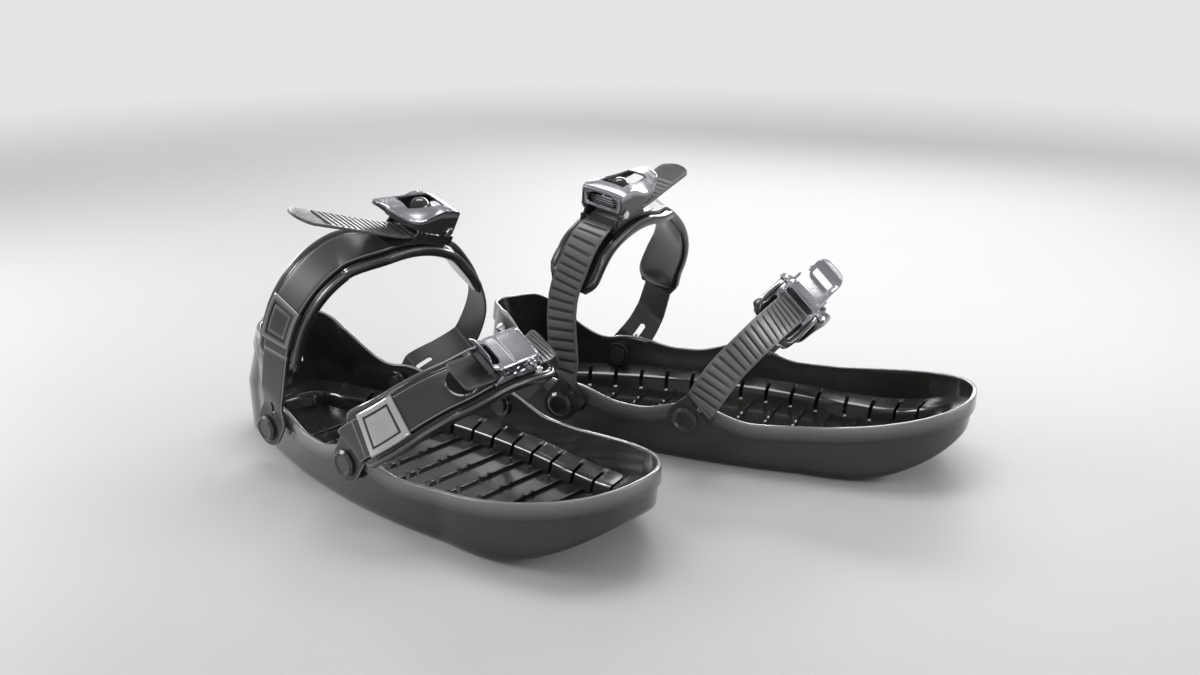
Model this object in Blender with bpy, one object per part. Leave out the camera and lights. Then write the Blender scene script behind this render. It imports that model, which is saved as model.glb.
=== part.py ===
"""Pair of mini skis: two short boat-shaped trays, each with a ratchet ankle strap and toe strap.

Units are metres and +Z is up. The pair stands as in a step, with +X halfway between the two toes
and the right ski on the -Y side. One ski is modelled in its own frame: x from the back of the
heel to the toe, y towards the wearer's other foot (medial) and z from the snow up. That is the
right ski. The left ski is the same ski mirrored across its length.

A strap is laid out flat first: a distance along the loop from the lateral rivet, a distance
across it and a height over the line of the loop. It is then bent round the loop, a path in space
that stands on the two rivets, leans on them, drifts forward or back and twists, as an empty
strap does. A buckle is modelled in a frame on the same path: t along the loop towards the medial
side, w across it and n out of it. The straps of the two skis hang differently, their buckles are
alike.
"""

import math

import bmesh
import bpy
import numpy as np
from mathutils import Matrix, Vector

# Placing of the pair
TOE_OUT_ANGLE = math.radians(10.04)
LEFT_SKI_AHEAD = 0.1280
HEEL_SPACING = 0.1200

# Tray plan
SKI_LENGTH = 0.380
HEEL_HALF_WIDTH = 0.0451
TOE_HALF_WIDTH = 0.0666
SIDE_BULGE = 0.0133
HEEL_CAP_LENGTH = 0.0406
TOE_CAP_LENGTH = 0.1101
HEEL_ROUNDNESS = 2.17
TOE_ROUNDNESS = 2.32

# Tray side view
RIM_HEIGHT = 0.0362
RIM_TOE_RISE = 0.0195
RIM_TOE_RISE_START = 0.235
HEEL_CUP_RISE = 0.0450
HEEL_CUP_FULL_X = 0.018
HEEL_CUP_END_X = 0.082
HEEL_CUP_TAPER = 0.39
HEEL_CUP_LEAN = 0.043
ANKLE_HUMP = 0.0075
TOE_HUMP = 0.0095
HUMP_REACH = 0.044
TOE_LIFT = 0.0281
TOE_LIFT_START = 0.2938

# Tray wall and floor
WALL = 0.0032
WALL_DRAFT = 0.0016
RIM_BAND_DEPTH = 0.0125
RIM_BAND_STEP = 0.0018
HULL_INSET = 0.0030
BOTTOM_INSET = 0.0068
BILGE_HEIGHT = 0.0066
FLOOR_THICKNESS = 0.0038
LEDGE_HEIGHT = 0.0150
LEDGE_WIDTH = 0.0125
LEDGE_DROP = 0.0050
LEDGE_TOE = 0.0030

# Slots across the ledge, ribs across the floor and runner grooves below
SLOT_PITCH = 0.0215
SLOT_WIDTH = 0.0030
SLOT_FIRST_X = 0.0640
SLOT_TOE_MARGIN = 0.0300
SLOT_FLOOR = 0.0018
RIB_WIDTH = 0.0020
RIB_HEIGHT = 0.0022
RIB_TOOTH = 0.0014
RIB_TOOTH_COUNT = 2
RUNNER_WIDTH = 0.0090
RUNNER_DEPTH = 0.0016
RUNNER_SPACING = 0.0280
RUNNER_START_X = 0.120

# Heel window
WINDOW_WIDTH = 0.0400
WINDOW_BOTTOM = 0.0360
WINDOW_HEIGHT = 0.0220
WINDOW_CORNER = 0.0060

# Strap rivets
ANKLE_RIVET_X = 0.087
ANKLE_RIVET_Z = 0.0285
TOE_RIVET_X = 0.188
TOE_RIVET_Z = 0.0345
SHANK_RADIUS = 0.0040
RIVET_HEAD_RADIUS = 0.0096
RIVET_HEAD_HEIGHT = 0.0030
RIVET_TAIL_RADIUS = 0.0066
RIVET_TAIL_HEIGHT = 0.0016
BOSS_RADIUS = 0.0098
BOSS_STAND_OFF = 0.0007
LEG_SWEEP = 0.0140

# Clearances
GAP = 0.0003

# Strap loops, each standing on its two rivets
LEG_STRAIGHT = 0.0120
ANKLE_WIDEST_AT = 0.0370
TOE_WIDEST_AT = 0.0300
BUCKLE_BLEND = 0.0300

# Right ankle loop
RIGHT_ANKLE_LATERAL = 0.0702
RIGHT_ANKLE_MEDIAL = 0.1050
RIGHT_ANKLE_HEIGHT = 0.1500
RIGHT_ANKLE_ROUNDNESS = 2.00
RIGHT_ANKLE_LEAN = math.radians(33.8)
RIGHT_ANKLE_DRIFT = (-0.0306, -0.0226, 0.0002)
RIGHT_ANKLE_TWIST = (-0.072, -0.290, 0.080)
RIGHT_ANKLE_BUCKLE_AT = 0.2089
RIGHT_ANKLE_TAIL = 0.0960
RIGHT_ANKLE_PAD_AT = 0.0540

# Left ankle loop
LEFT_ANKLE_LATERAL = 0.0799
LEFT_ANKLE_MEDIAL = 0.0842
LEFT_ANKLE_HEIGHT = 0.1313
LEFT_ANKLE_ROUNDNESS = 3.00
LEFT_ANKLE_LEAN = math.radians(39.5)
LEFT_ANKLE_DRIFT = (-0.0269, -0.0600, -0.0548)
LEFT_ANKLE_TWIST = (0.418, -0.622, -0.283)
LEFT_ANKLE_BUCKLE_AT = 0.2289
LEFT_ANKLE_TAIL = 0.0720
LEFT_ANKLE_PAD_AT = 0.0620

# Right toe loop
RIGHT_TOE_LATERAL = 0.0820
RIGHT_TOE_MEDIAL = 0.0820
RIGHT_TOE_HEIGHT = 0.0970
RIGHT_TOE_ROUNDNESS = 2.20
RIGHT_TOE_LEAN = math.radians(33.0)
RIGHT_TOE_DRIFT = (0.0205, 0.0245, 0.0100)
RIGHT_TOE_TWIST = (0.0, 0.0, 0.0)
RIGHT_TOE_BUCKLE_AT = 0.1520
RIGHT_TOE_PAD_AT = 0.0300

# Left toe loop
LEFT_TOE_LATERAL = 0.0790
LEFT_TOE_MEDIAL = 0.0929
LEFT_TOE_HEIGHT = 0.0955
LEFT_TOE_ROUNDNESS = 2.35
LEFT_TOE_LEAN = math.radians(50.9)
LEFT_TOE_DRIFT = (-0.0066, -0.0201, -0.0181)
LEFT_TOE_TWIST = (-0.092, -0.105, 0.154)
LEFT_TOE_BUCKLE_AT = 0.1560
LEFT_TOE_PAD_AT = 0.0380

# Straps
PADDLE_RADIUS = 0.0135
STRAP_THICKNESS = 0.0024
STRAP_EDGE = 0.0006
STRAP_STATION = 0.0100
ANKLE_STRAP_WIDTH = 0.0250
TOE_STRAP_WIDTH = 0.0260
ADJUST_SLOT_WIDTH = 0.0044
ADJUST_SLOT_START = 0.0130
ADJUST_SLOT_LENGTH = 0.0160
LADDER_WIDTH = 0.0240
LADDER_BODY = 0.0014
TOOTH_HEIGHT = 0.0010
TOOTH_PITCH = 0.0056
TOOTH_GROOVE = 0.0014
LADDER_FLAT = 0.0360
LADDER_CLIMB = 0.0560
TOE_TAIL = 0.0230
TAIL_LEAVES_AT = 0.0100
TAIL_BEND_LENGTH = 0.0240
TAIL_BEND_RADIUS = 0.1350

# Pads
PAD_WIDTH = 0.0410
PAD_RIM_WIDTH = 0.0046
PAD_RIM_CREST = 0.0018
PAD_THICKNESS = 0.0056
ANKLE_PAD_LENGTH = 0.2320
TOE_PAD_LENGTH = 0.1680

# Keepers that hold the base straps on the pads
KEEPER_LENGTH = 0.0280
KEEPER_BAR = 0.0050
KEEPER_THICKNESS = 0.0014
ANKLE_KEEPER_AT = 0.0860
TOE_KEEPER_AT = 0.0620

# Ratchet buckles
CHASSIS_RADIUS = 0.0950
CHASSIS_PLATE = 0.0012
ANKLE_CHASSIS_LATERAL = 0.0340
TOE_CHASSIS_LATERAL = 0.0210
CHASSIS_MEDIAL = 0.0225
CHASSIS_HALF_WIDTH = 0.0150
CHEEK_THICKNESS = 0.0016
CHEEK_DIP_N = 0.0080
PIVOT_T = 0.0120
ANKLE_PIVOT_N = 0.0125
TOE_PIVOT_N = 0.0100
PIVOT_EAR = 0.0032
PIN_RADIUS = 0.0018
PIN_HEAD_RADIUS = 0.0034
PIN_HEAD_HEIGHT = 0.0015
RELEASE_PIN_T = -0.0120
RELEASE_PIN_N = 0.0094
RELEASE_PIN_RADIUS = 0.0012
RELEASE_EAR = 0.0028
LEVER_WALL = 0.0016
LEVER_PLATE = 0.0016
LEVER_EAR = 0.0044
LEVER_FRONT_T = 0.0168
ANKLE_FRONT_LOW = 0.0140
ANKLE_FRONT_HIGH = 0.0290
ANKLE_LEVER_LENGTH = 0.0580
TOE_FRONT_LOW = 0.0116
TOE_FRONT_HIGH = 0.0172
TOE_LEVER_LENGTH = 0.0430
TOE_LEVER_EAR = 0.0030
TOE_LIP_RISE = 0.0080
ENTRY_BAR_T = 0.0207
ENTRY_BAR_LOW = 0.0070
ENTRY_BAR_HEIGHT = 0.0010
BALL_RADIUS = 0.0030
BALL_AT = 0.0200
PAWL_PIN_T = -0.0010
ANKLE_PAWL_PIN_N = 0.0125
TOE_PAWL_PIN_N = 0.0107
PAWL_PIN_RADIUS = 0.0011
PAWL_BOSS = 0.0019
PAWL_HALF_WIDTH = 0.0085
RELEASE_HALF_WIDTH = 0.0100
RELEASE_TAB = 0.0140
SPRING_COIL_RADIUS = 0.0021
SPRING_WIRE_RADIUS = 0.0003
SPRING_TURNS = 3
SCREW_RADIUS = 0.0020
SCREW_T = -0.0040


def smooth(value):
    """Ease from 0 to 1 with level ends."""
    t = np.clip(value, 0.0, 1.0)
    return t * t * (3.0 - 2.0 * t)


def bell(distance, reach):
    """Rounded hump: 1 in the middle, 0 at the reach and beyond."""
    return np.cos(0.5 * math.pi * np.clip(distance / reach, -1.0, 1.0)) ** 2


def half_width(x):
    """Half the width of the rim outline at a distance from the heel."""
    side_length = SKI_LENGTH - TOE_CAP_LENGTH - HEEL_CAP_LENGTH
    u = np.clip((x - HEEL_CAP_LENGTH) / side_length, 0.0, 1.0)
    side = HEEL_HALF_WIDTH + (TOE_HALF_WIDTH - HEEL_HALF_WIDTH) * u + 4.0 * SIDE_BULGE * u * (1.0 - u)
    to_heel = np.clip(1.0 - x / HEEL_CAP_LENGTH, 0.0, 1.0)
    to_toe = np.clip(1.0 - (SKI_LENGTH - x) / TOE_CAP_LENGTH, 0.0, 1.0)
    heel = (1.0 - to_heel ** HEEL_ROUNDNESS) ** (1.0 / HEEL_ROUNDNESS)
    toe = (1.0 - to_toe ** TOE_ROUNDNESS) ** (1.0 / TOE_ROUNDNESS)
    return side * heel * toe


def rim_height(x):
    """Height of the rim: heel cup, two humps at the rivets and the rising toe."""
    cup = HEEL_CUP_RISE * (1.0 - smooth((x - HEEL_CUP_FULL_X) / (HEEL_CUP_END_X - HEEL_CUP_FULL_X)))
    ankle = ANKLE_HUMP * bell(x - ANKLE_RIVET_X - 0.006, HUMP_REACH)
    toe = TOE_HUMP * bell(x - TOE_RIVET_X - 0.004, HUMP_REACH)
    rise = np.clip((x - RIM_TOE_RISE_START) / (SKI_LENGTH - RIM_TOE_RISE_START), 0.0, 1.0)
    return RIM_HEIGHT + cup + ankle + toe + RIM_TOE_RISE * rise ** 1.6


def bottom_height(x):
    """Height of the underside: flat, then curving up to the toe."""
    rise = np.clip((x - TOE_LIFT_START) / (SKI_LENGTH - TOE_LIFT_START), 0.0, 1.0)
    return TOE_LIFT * rise ** 2


def floor_height(x):
    return bottom_height(x) + FLOOR_THICKNESS


def outline_stations(heel, side, toe):
    """Outline points of one half from the heel tip to the toe tip, with their inward normals."""
    a = np.linspace(0.0, 0.5 * math.pi, heel)
    b = np.linspace(0.5 * math.pi, 0.0, toe)
    heel_x = HEEL_CAP_LENGTH * (1.0 - np.cos(a) ** (2.0 / HEEL_ROUNDNESS))
    side_x = np.linspace(HEEL_CAP_LENGTH, SKI_LENGTH - TOE_CAP_LENGTH, side)
    toe_x = SKI_LENGTH - TOE_CAP_LENGTH * (1.0 - np.cos(b) ** (2.0 / TOE_ROUNDNESS))
    x = np.concatenate([heel_x[:-1], side_x, toe_x[1:]])
    x[0], x[-1] = 0.0, SKI_LENGTH
    y = half_width(x)
    step = 0.0004
    slope_x = np.gradient(x)
    slope_y = np.gradient(y)
    slope_x[0], slope_y[0] = 0.0, step
    slope_x[-1], slope_y[-1] = 0.0, -step
    length = np.hypot(slope_x, slope_y)
    return x, y, slope_y / length, -slope_x / length


def body_from_rings(rings, closed_ends=True):
    """Closed body through a row of rings that have the same number of points."""
    bm = bmesh.new()
    rows = [[bm.verts.new(point) for point in ring] for ring in rings]
    for first, second in zip(rows, rows[1:]):
        for i in range(len(first)):
            j = (i + 1) % len(first)
            bm.faces.new((first[i], first[j], second[j], second[i]))
    if closed_ends:
        bm.faces.new(rows[0])
        bm.faces.new(list(reversed(rows[-1])))
    bmesh.ops.recalc_face_normals(bm, faces=bm.faces)
    mesh = bpy.data.meshes.new("body")
    bm.to_mesh(mesh)
    bm.free()
    return mesh


def merged(meshes):
    """One mesh that holds several bodies which don't touch."""
    bm = bmesh.new()
    for mesh in meshes:
        bm.from_mesh(mesh)
        bpy.data.meshes.remove(mesh)
    result = bpy.data.meshes.new("body")
    bm.to_mesh(result)
    bm.free()
    return result


def combine(mesh, others, operation):
    """Unite a mesh with other meshes, or cut them out of it, one after the other."""
    target = bpy.data.objects.new("target", mesh)
    bpy.context.collection.objects.link(target)
    helpers = []
    for other in others:
        helper = bpy.data.objects.new("helper", other)
        bpy.context.collection.objects.link(helper)
        modifier = target.modifiers.new("combine", 'BOOLEAN')
        modifier.operation = operation
        modifier.solver = 'EXACT'
        modifier.object = helper
        helpers.append(helper)
    bpy.context.view_layer.update()
    evaluated = target.evaluated_get(bpy.context.evaluated_depsgraph_get())
    result = bpy.data.meshes.new_from_object(evaluated)
    for item in helpers + [target]:
        old = item.data
        bpy.data.objects.remove(item)
        bpy.data.meshes.remove(old)
    return result


def unite(mesh, others):
    return combine(mesh, others, 'UNION')


def cut(mesh, others):
    return combine(mesh, others, 'DIFFERENCE')


def box(low, high):
    """Block between two corners."""
    (x0, y0, z0), (x1, y1, z1) = low, high
    rings = []
    for z in (z0, z1):
        rings.append([(x0, y0, z), (x1, y0, z), (x1, y1, z), (x0, y1, z)])
    return body_from_rings(rings)


def circle(radius, count, centre=(0.0, 0.0), start=0.0):
    """Corner points of a round outline."""
    angles = start + 2.0 * math.pi * np.arange(count) / count
    return [(centre[0] + radius * math.cos(a), centre[1] + radius * math.sin(a)) for a in angles]


def rounded_rectangle(width, height, corner, per_corner=3):
    """Outline of a rectangle with round corners about the origin."""
    points = []
    for quarter, (sx, sy) in enumerate(((1, 1), (-1, 1), (-1, -1), (1, -1))):
        cx = sx * (0.5 * width - corner)
        cy = sy * (0.5 * height - corner)
        for step in range(per_corner):
            angle = 0.5 * math.pi * (quarter + step / (per_corner - 1))
            points.append((cx + corner * math.cos(angle), cy + corner * math.sin(angle)))
    return points


def lathe_y(profile, count, centre):
    """Body turned about a line along y; the profile lists radius and y from end to end."""
    rings = []
    for radius, y in profile:
        rings.append([(centre[0] + a, y, centre[1] + b) for a, b in circle(radius, count)])
    return body_from_rings(rings)


def mirrored_y(mesh):
    """The same body on the other side of the ski."""
    mesh.transform(Matrix.Scale(-1.0, 4, Vector((0.0, 1.0, 0.0))))
    mesh.flip_normals()
    return mesh


def strap_seat(rivet_x):
    """Distance from the middle of the ski to the inner face of a strap leg at its rivet."""
    covered = np.linspace(rivet_x - PADDLE_RADIUS, rivet_x + PADDLE_RADIUS + LEG_SWEEP, 30)
    return float(np.max(half_width(covered))) + BOSS_STAND_OFF


def boss_inside(rivet_x):
    """Distance from the middle of the ski to the flat seat inside the wall at a rivet."""
    thinnest = float(min(half_width(rivet_x - BOSS_RADIUS), half_width(rivet_x + BOSS_RADIUS)))
    return thinnest - WALL - WALL_DRAFT - 0.0006


RIVETS = {
    "ankle": (ANKLE_RIVET_X, ANKLE_RIVET_Z),
    "toe": (TOE_RIVET_X, TOE_RIVET_Z),
}


def tray_shell():
    """Tray wall, rim band, bilge and ledge as one skin with its bottom and floor."""
    x, y, normal_x, normal_y = outline_stations(6, 11, 8)
    count = len(x)
    rim = rim_height(x)
    low = bottom_height(x)
    floor = floor_height(x)
    layers = []
    for angle in np.radians((0.0, 45.0, 90.0)):
        inset = BOTTOM_INSET - (BOTTOM_INSET - HULL_INSET) * math.sin(angle)
        layers.append((inset, low + BILGE_HEIGHT * (1.0 - math.cos(angle))))
    layers.append((RIM_BAND_STEP, rim - RIM_BAND_DEPTH))
    layers.append((0.0, rim - RIM_BAND_DEPTH + 0.0008))
    layers.append((0.0, rim - 0.0010))
    layers.append((0.0008, rim))
    layers.append((WALL - 0.0008, rim))
    layers.append((WALL, rim - 0.0010))
    layers.append((WALL + WALL_DRAFT, floor + LEDGE_HEIGHT))
    layers.append((WALL + WALL_DRAFT + LEDGE_WIDTH, floor + LEDGE_HEIGHT - LEDGE_DROP))
    layers.append((WALL + WALL_DRAFT + LEDGE_WIDTH + LEDGE_TOE, floor))
    bm = bmesh.new()
    rings = []
    for inset, z in layers:
        above = np.clip(z - 0.040, 0.0, None) * np.clip((0.1 - x) / 0.1, 0.0, 1.0)
        px = x + normal_x * inset + HEEL_CUP_LEAN * above
        py = np.clip(y + normal_y * inset - HEEL_CUP_TAPER * above * np.minimum(y / 0.03, 1.0), 0.0, None)
        near = [bm.verts.new((px[i], -py[i], z[i])) for i in range(count)]
        far = [bm.verts.new((px[i], py[i], z[i])) for i in range(count - 2, 0, -1)]
        rings.append(near + far)
    size = len(rings[0])
    for first, second in zip(rings, rings[1:]):
        for i in range(size):
            j = (i + 1) % size
            bm.faces.new((first[i], first[j], second[j], second[i]))
    for ring in (rings[0], rings[-1]):
        bm.faces.new((ring[0], ring[1], ring[size - 1]))
        for i in range(1, count - 2):
            bm.faces.new((ring[i], ring[i + 1], ring[size - i - 1], ring[size - i]))
        bm.faces.new((ring[count - 2], ring[count - 1], ring[count]))
    bmesh.ops.recalc_face_normals(bm, faces=bm.faces)
    mesh = bpy.data.meshes.new("tray")
    bm.to_mesh(mesh)
    bm.free()
    return mesh


def slot_positions():
    return np.arange(SLOT_FIRST_X, SKI_LENGTH - SLOT_TOE_MARGIN, SLOT_PITCH)


def ledge_slots():
    """Narrow blocks that part the ledge into a row of steps."""
    blocks = []
    for x in slot_positions():
        reach = float(half_width(x + 0.004 * (x > SKI_LENGTH - 0.130))) - WALL - WALL_DRAFT - 0.0040
        reach -= 0.004 * max(0.0, (x - SKI_LENGTH + 0.050) / 0.02)
        z = float(floor_height(x))
        blocks.append(box((x - 0.5 * SLOT_WIDTH, -reach, z + SLOT_FLOOR),
                          (x + 0.5 * SLOT_WIDTH, reach, z + LEDGE_HEIGHT + 0.004)))
    return merged(blocks)


def floor_ribs():
    """Ribs across the floor between the slots, with small grip teeth on each half."""
    ribs = []
    for x in slot_positions()[:-1] + 0.5 * SLOT_PITCH:
        reach = float(half_width(x)) - WALL - WALL_DRAFT - LEDGE_WIDTH - LEDGE_TOE + 0.003
        z = float(floor_height(x))
        profile = [(reach, z - 0.0015), (-reach, z - 0.0015), (-reach, z + RIB_HEIGHT)]
        half_row = []
        for tooth in range(RIB_TOOTH_COUNT):
            left = 0.008 + 0.009 * tooth
            half_row += [(left, z + RIB_HEIGHT), (left + 0.002, z + RIB_HEIGHT + RIB_TOOTH)]
            half_row.append((left + 0.004, z + RIB_HEIGHT))
        profile += [(-a, b) for a, b in reversed(half_row)]
        profile += half_row
        profile.append((reach, z + RIB_HEIGHT))
        rings = []
        for side in (-0.5, 0.5):
            rings.append([(x + side * RIB_WIDTH, a, b) for a, b in profile])
        ribs.append(body_from_rings(rings))
    return merged(ribs)


def runner_grooves():
    """Three shallow grooves along the underside that follow the rise to the toe."""
    grooves = []
    for offset in (-RUNNER_SPACING, 0.0, RUNNER_SPACING):
        rings = []
        for x in np.linspace(RUNNER_START_X, SKI_LENGTH + 0.004, 7):
            depth = RUNNER_DEPTH * float(smooth((x - RUNNER_START_X) / 0.08)) - 0.0002
            z = float(bottom_height(x))
            half = 0.5 * RUNNER_WIDTH
            rings.append([(x, offset - half, z - 0.010), (x, offset + half, z - 0.010),
                          (x, offset + half, z - 0.0005), (x, offset + 0.6 * half, z + depth),
                          (x, offset - 0.6 * half, z + depth), (x, offset - half, z - 0.0005)])
        grooves.append(body_from_rings(rings))
    return merged(grooves)


def heel_window():
    """Round-cornered window through the back of the heel cup."""
    middle = WINDOW_BOTTOM + 0.5 * WINDOW_HEIGHT
    outline = rounded_rectangle(WINDOW_WIDTH, WINDOW_HEIGHT, WINDOW_CORNER)
    rings = []
    for x in (-0.010, 0.030):
        rings.append([(x, a, middle + b) for a, b in outline])
    return body_from_rings(rings)


def tray_bosses():
    """Flat round seats on both sides of the wall at each rivet."""
    bosses = []
    for x, z in RIVETS.values():
        boss = lathe_y([(BOSS_RADIUS, boss_inside(x)), (BOSS_RADIUS, strap_seat(x) - GAP)], 16, (x, z))
        bosses += [boss, mirrored_y(boss.copy())]
    return merged(bosses)


def tray_bores():
    """Holes for the rivet shanks."""
    bores = []
    for x, z in RIVETS.values():
        low, high = boss_inside(x) - 0.002, strap_seat(x) + 0.002
        bore = lathe_y([(SHANK_RADIUS + GAP, low), (SHANK_RADIUS + GAP, high)], 12, (x, z))
        bores += [bore, mirrored_y(bore.copy())]
    return merged(bores)


def make_tray():
    """Moulded tray: boat-shaped hull, heel cup, slotted ledge and ribbed floor."""
    mesh = unite(tray_shell(), [floor_ribs(), tray_bosses()])
    return cut(mesh, [ledge_slots(), runner_grooves(), heel_window(), tray_bores()])


def make_rivet(place):
    """Medial rivet: dished head outside, shank and a flat tail inside the tray."""
    x, z = RIVETS[place]
    seat = strap_seat(x) + STRAP_THICKNESS + GAP
    inside = boss_inside(x) - GAP
    profile = [(RIVET_TAIL_RADIUS, inside - RIVET_TAIL_HEIGHT), (RIVET_TAIL_RADIUS, inside),
               (SHANK_RADIUS, inside), (SHANK_RADIUS, seat), (RIVET_HEAD_RADIUS, seat),
               (RIVET_HEAD_RADIUS, seat + 0.5 * RIVET_HEAD_HEIGHT),
               (0.80 * RIVET_HEAD_RADIUS, seat + RIVET_HEAD_HEIGHT),
               (0.62 * RIVET_HEAD_RADIUS, seat + 0.75 * RIVET_HEAD_HEIGHT)]
    return lathe_y(profile, 14, (x, z))


class Loop:
    """Path of a strap loop in the frame of its rivets, and bending of flat strips round it."""

    def __init__(self, rivet_x, widest_at, lateral, medial, height, roundness, drift, twist, buckle_at,
                 chassis_lateral, tail, pad_at):
        below = 0.030
        seat = strap_seat(rivet_x)
        leg = np.linspace(-below, widest_at, 140, endpoint=False)
        a = np.linspace(0.0, 0.5 * math.pi, 200)
        halves = []
        for widest in (lateral, medial):
            leg_y = seat + (widest - seat) * smooth((leg - LEG_STRAIGHT) / (widest_at - LEG_STRAIGHT))
            arch_y = widest * np.cos(a) ** (2.0 / roundness)
            arch_y[-1] = 0.0
            halves.append(np.concatenate([leg_y, arch_y]))
        side_h = np.concatenate([leg, widest_at + (height - widest_at) * np.sin(a) ** (2.0 / roundness)])
        y = np.concatenate([-halves[0], halves[1][-2::-1]])
        h = np.concatenate([side_h, side_h[-2::-1]])
        run = np.concatenate([[0.0], np.cumsum(np.hypot(np.diff(y), np.diff(h)))]) - below
        self.length = float(run[-1]) - below
        self.buckle_at = buckle_at
        self.chassis_lateral = chassis_lateral
        self.tail = tail
        self.pad_at = pad_at
        self.tail_from = None
        self.s = np.arange(-below + 0.002, self.length + below - 0.002, 0.001)
        shares = [bell(self.s / self.length - middle, reach)
                  for middle, reach in ((0.27, 0.24), (0.50, 0.26), (0.73, 0.24))]
        forward = sum(amount * share for amount, share in zip(drift, shares))
        turn = sum(amount * share for amount, share in zip(twist, shares))[:, None]
        points = np.stack([forward, np.interp(self.s, run, y), np.interp(self.s, run, h)], axis=1)
        along = unit_rows(np.gradient(points, self.s, axis=0))
        across = unit_rows(np.array([1.0, 0.0, 0.0]) - along[:, :1] * along)
        outward = np.cross(across, along)
        outward = outward * np.cos(turn) + across * np.sin(turn)
        self.points, self.along, self.across, self.outward = self.over_buckle(points, along, outward)

    def over_buckle(self, points, along, outward):
        """Lay the part of the path under the buckle on the round of the buckle's base."""
        rows = (points, along, outward)
        middle, ahead, out = (
            np.array([np.interp(self.buckle_at, self.s, column) for column in row.T]) for row in rows)
        ahead = ahead / np.linalg.norm(ahead)
        out = out - ahead * float(out @ ahead)
        out = out / np.linalg.norm(out)
        away = self.s - self.buckle_at
        reach = np.where(away < 0.0, self.chassis_lateral, CHASSIS_MEDIAL)
        share = (1.0 - smooth((np.abs(away) - reach) / BUCKLE_BLEND))[:, None]
        angle = (away / CHASSIS_RADIUS)[:, None]
        round_points = middle + CHASSIS_RADIUS * (ahead * np.sin(angle) - out * (1.0 - np.cos(angle)))
        round_out = out * np.cos(angle) + ahead * np.sin(angle)
        points = points * (1.0 - share) + round_points * share
        along = unit_rows(np.gradient(points, self.s, axis=0))
        outward = outward * (1.0 - share) + round_out * share
        outward = unit_rows(outward - along * np.sum(outward * along, axis=1)[:, None])
        return points, along, np.cross(along, outward), outward

    def frame(self, s):
        """Point of the path, its direction, the direction across the strap and the one out of it.

        A free tail leaves the round of the buckle, bends up a little and runs on straight."""
        clipped = s if self.tail_from is None else max(s, self.tail_from)
        rows = (self.points, self.along, self.across, self.outward)
        point, along, across, outward = (
            np.array([np.interp(clipped, self.s, column) for column in row.T]) for row in rows)
        away = clipped - s
        bent = min(away, TAIL_BEND_LENGTH)
        turn = bent / TAIL_BEND_RADIUS
        point = point - along * TAIL_BEND_RADIUS * math.sin(turn) + outward * TAIL_BEND_RADIUS * (1.0 - math.cos(turn))
        ahead = along * math.cos(turn) - outward * math.sin(turn)
        return point - ahead * (away - bent), ahead, across, outward * math.cos(turn) + along * math.sin(turn)

    def place(self, s, w, n):
        """Point of a flat strap after it is bent round the loop."""
        point, _, across, outward = self.frame(s)
        return Vector(point + across * w + outward * n)

    def lay(self, s, w, n):
        """Point of a strip whose bends lie at the shared stations, straight between two of them."""
        low = STRAP_STATION * math.floor(s / STRAP_STATION)
        return self.place(low, w, n).lerp(self.place(low + STRAP_STATION, w, n), (s - low) / STRAP_STATION)

    def buckle_matrix(self):
        """Frame of the buckle: t along the path, w across it to the rear and n out of it."""
        point, along, across, outward = self.frame(self.buckle_at)
        matrix = Matrix.Identity(4)
        for column, direction in enumerate((along, -across, outward)):
            matrix.col[column] = Vector((*direction, 0.0))
        matrix.col[3] = Vector((*point, 1.0))
        return matrix


def unit_rows(rows):
    """Rows of vectors brought to length 1."""
    return rows / np.linalg.norm(rows, axis=1)[:, None]


def in_buckle(t, n):
    """Place in the buckle frame of a point that lies on the round of the buckle's base."""
    angle = t / CHASSIS_RADIUS
    return (CHASSIS_RADIUS + n) * math.sin(angle), (CHASSIS_RADIUS + n) * math.cos(angle) - CHASSIS_RADIUS


def paddle_rows(start, end, half, first=True):
    """Distances and half widths of a strap end that is round about its rivet."""
    rows = []
    for angle in np.radians((15.0, 35.0, 60.0, 90.0)):
        rows.append((start - half * math.cos(angle), half * math.sin(angle)))
    if not first:
        rows = [(end + start - s, width) for s, width in reversed(rows)]
    return rows


def shared_stations(low, high):
    """Distances at which every strip of a loop has a row, so that their bends lie together."""
    return STRAP_STATION * np.arange(math.ceil(low / STRAP_STATION), math.floor(high / STRAP_STATION) + 1)


def with_shared(low, high, extra):
    """Rows of a short strip: its own distances and the shared ones between them."""
    rows = [low, high] + [s for s in extra] + [s for s in shared_stations(low, high)]
    rows = sorted(set(round(float(s), 6) for s in rows))
    return [s for i, s in enumerate(rows) if i == 0 or s - rows[i - 1] > 0.0008 or i == len(rows) - 1]


def strap_section(half, low, high):
    """Section of a strap with its upper edges broken, as pairs of w and n."""
    edge = min(STRAP_EDGE, 0.4 * half)
    return [(-half, low), (half, low), (half, high - edge), (half - edge, high),
            (edge - half, high), (-half, high - edge)]


def slot_cutter(loop, centre_s, length, width):
    """Round-ended slot cutter across a strap leg near its rivet."""
    outline = rounded_rectangle(width, length, 0.5 * width)
    return body_from_rings([[loop.place(centre_s + s, w, n) for w, s in outline] for n in (-0.012, 0.014)])


def rivet_hole(loop, s):
    """Round cutter across a strap leg at its rivet."""
    outline = circle(SHANK_RADIUS + GAP, 14, start=0.2)
    return body_from_rings([[loop.place(s + b, a, n) for a, b in outline] for n in (-0.012, 0.014)])


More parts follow.
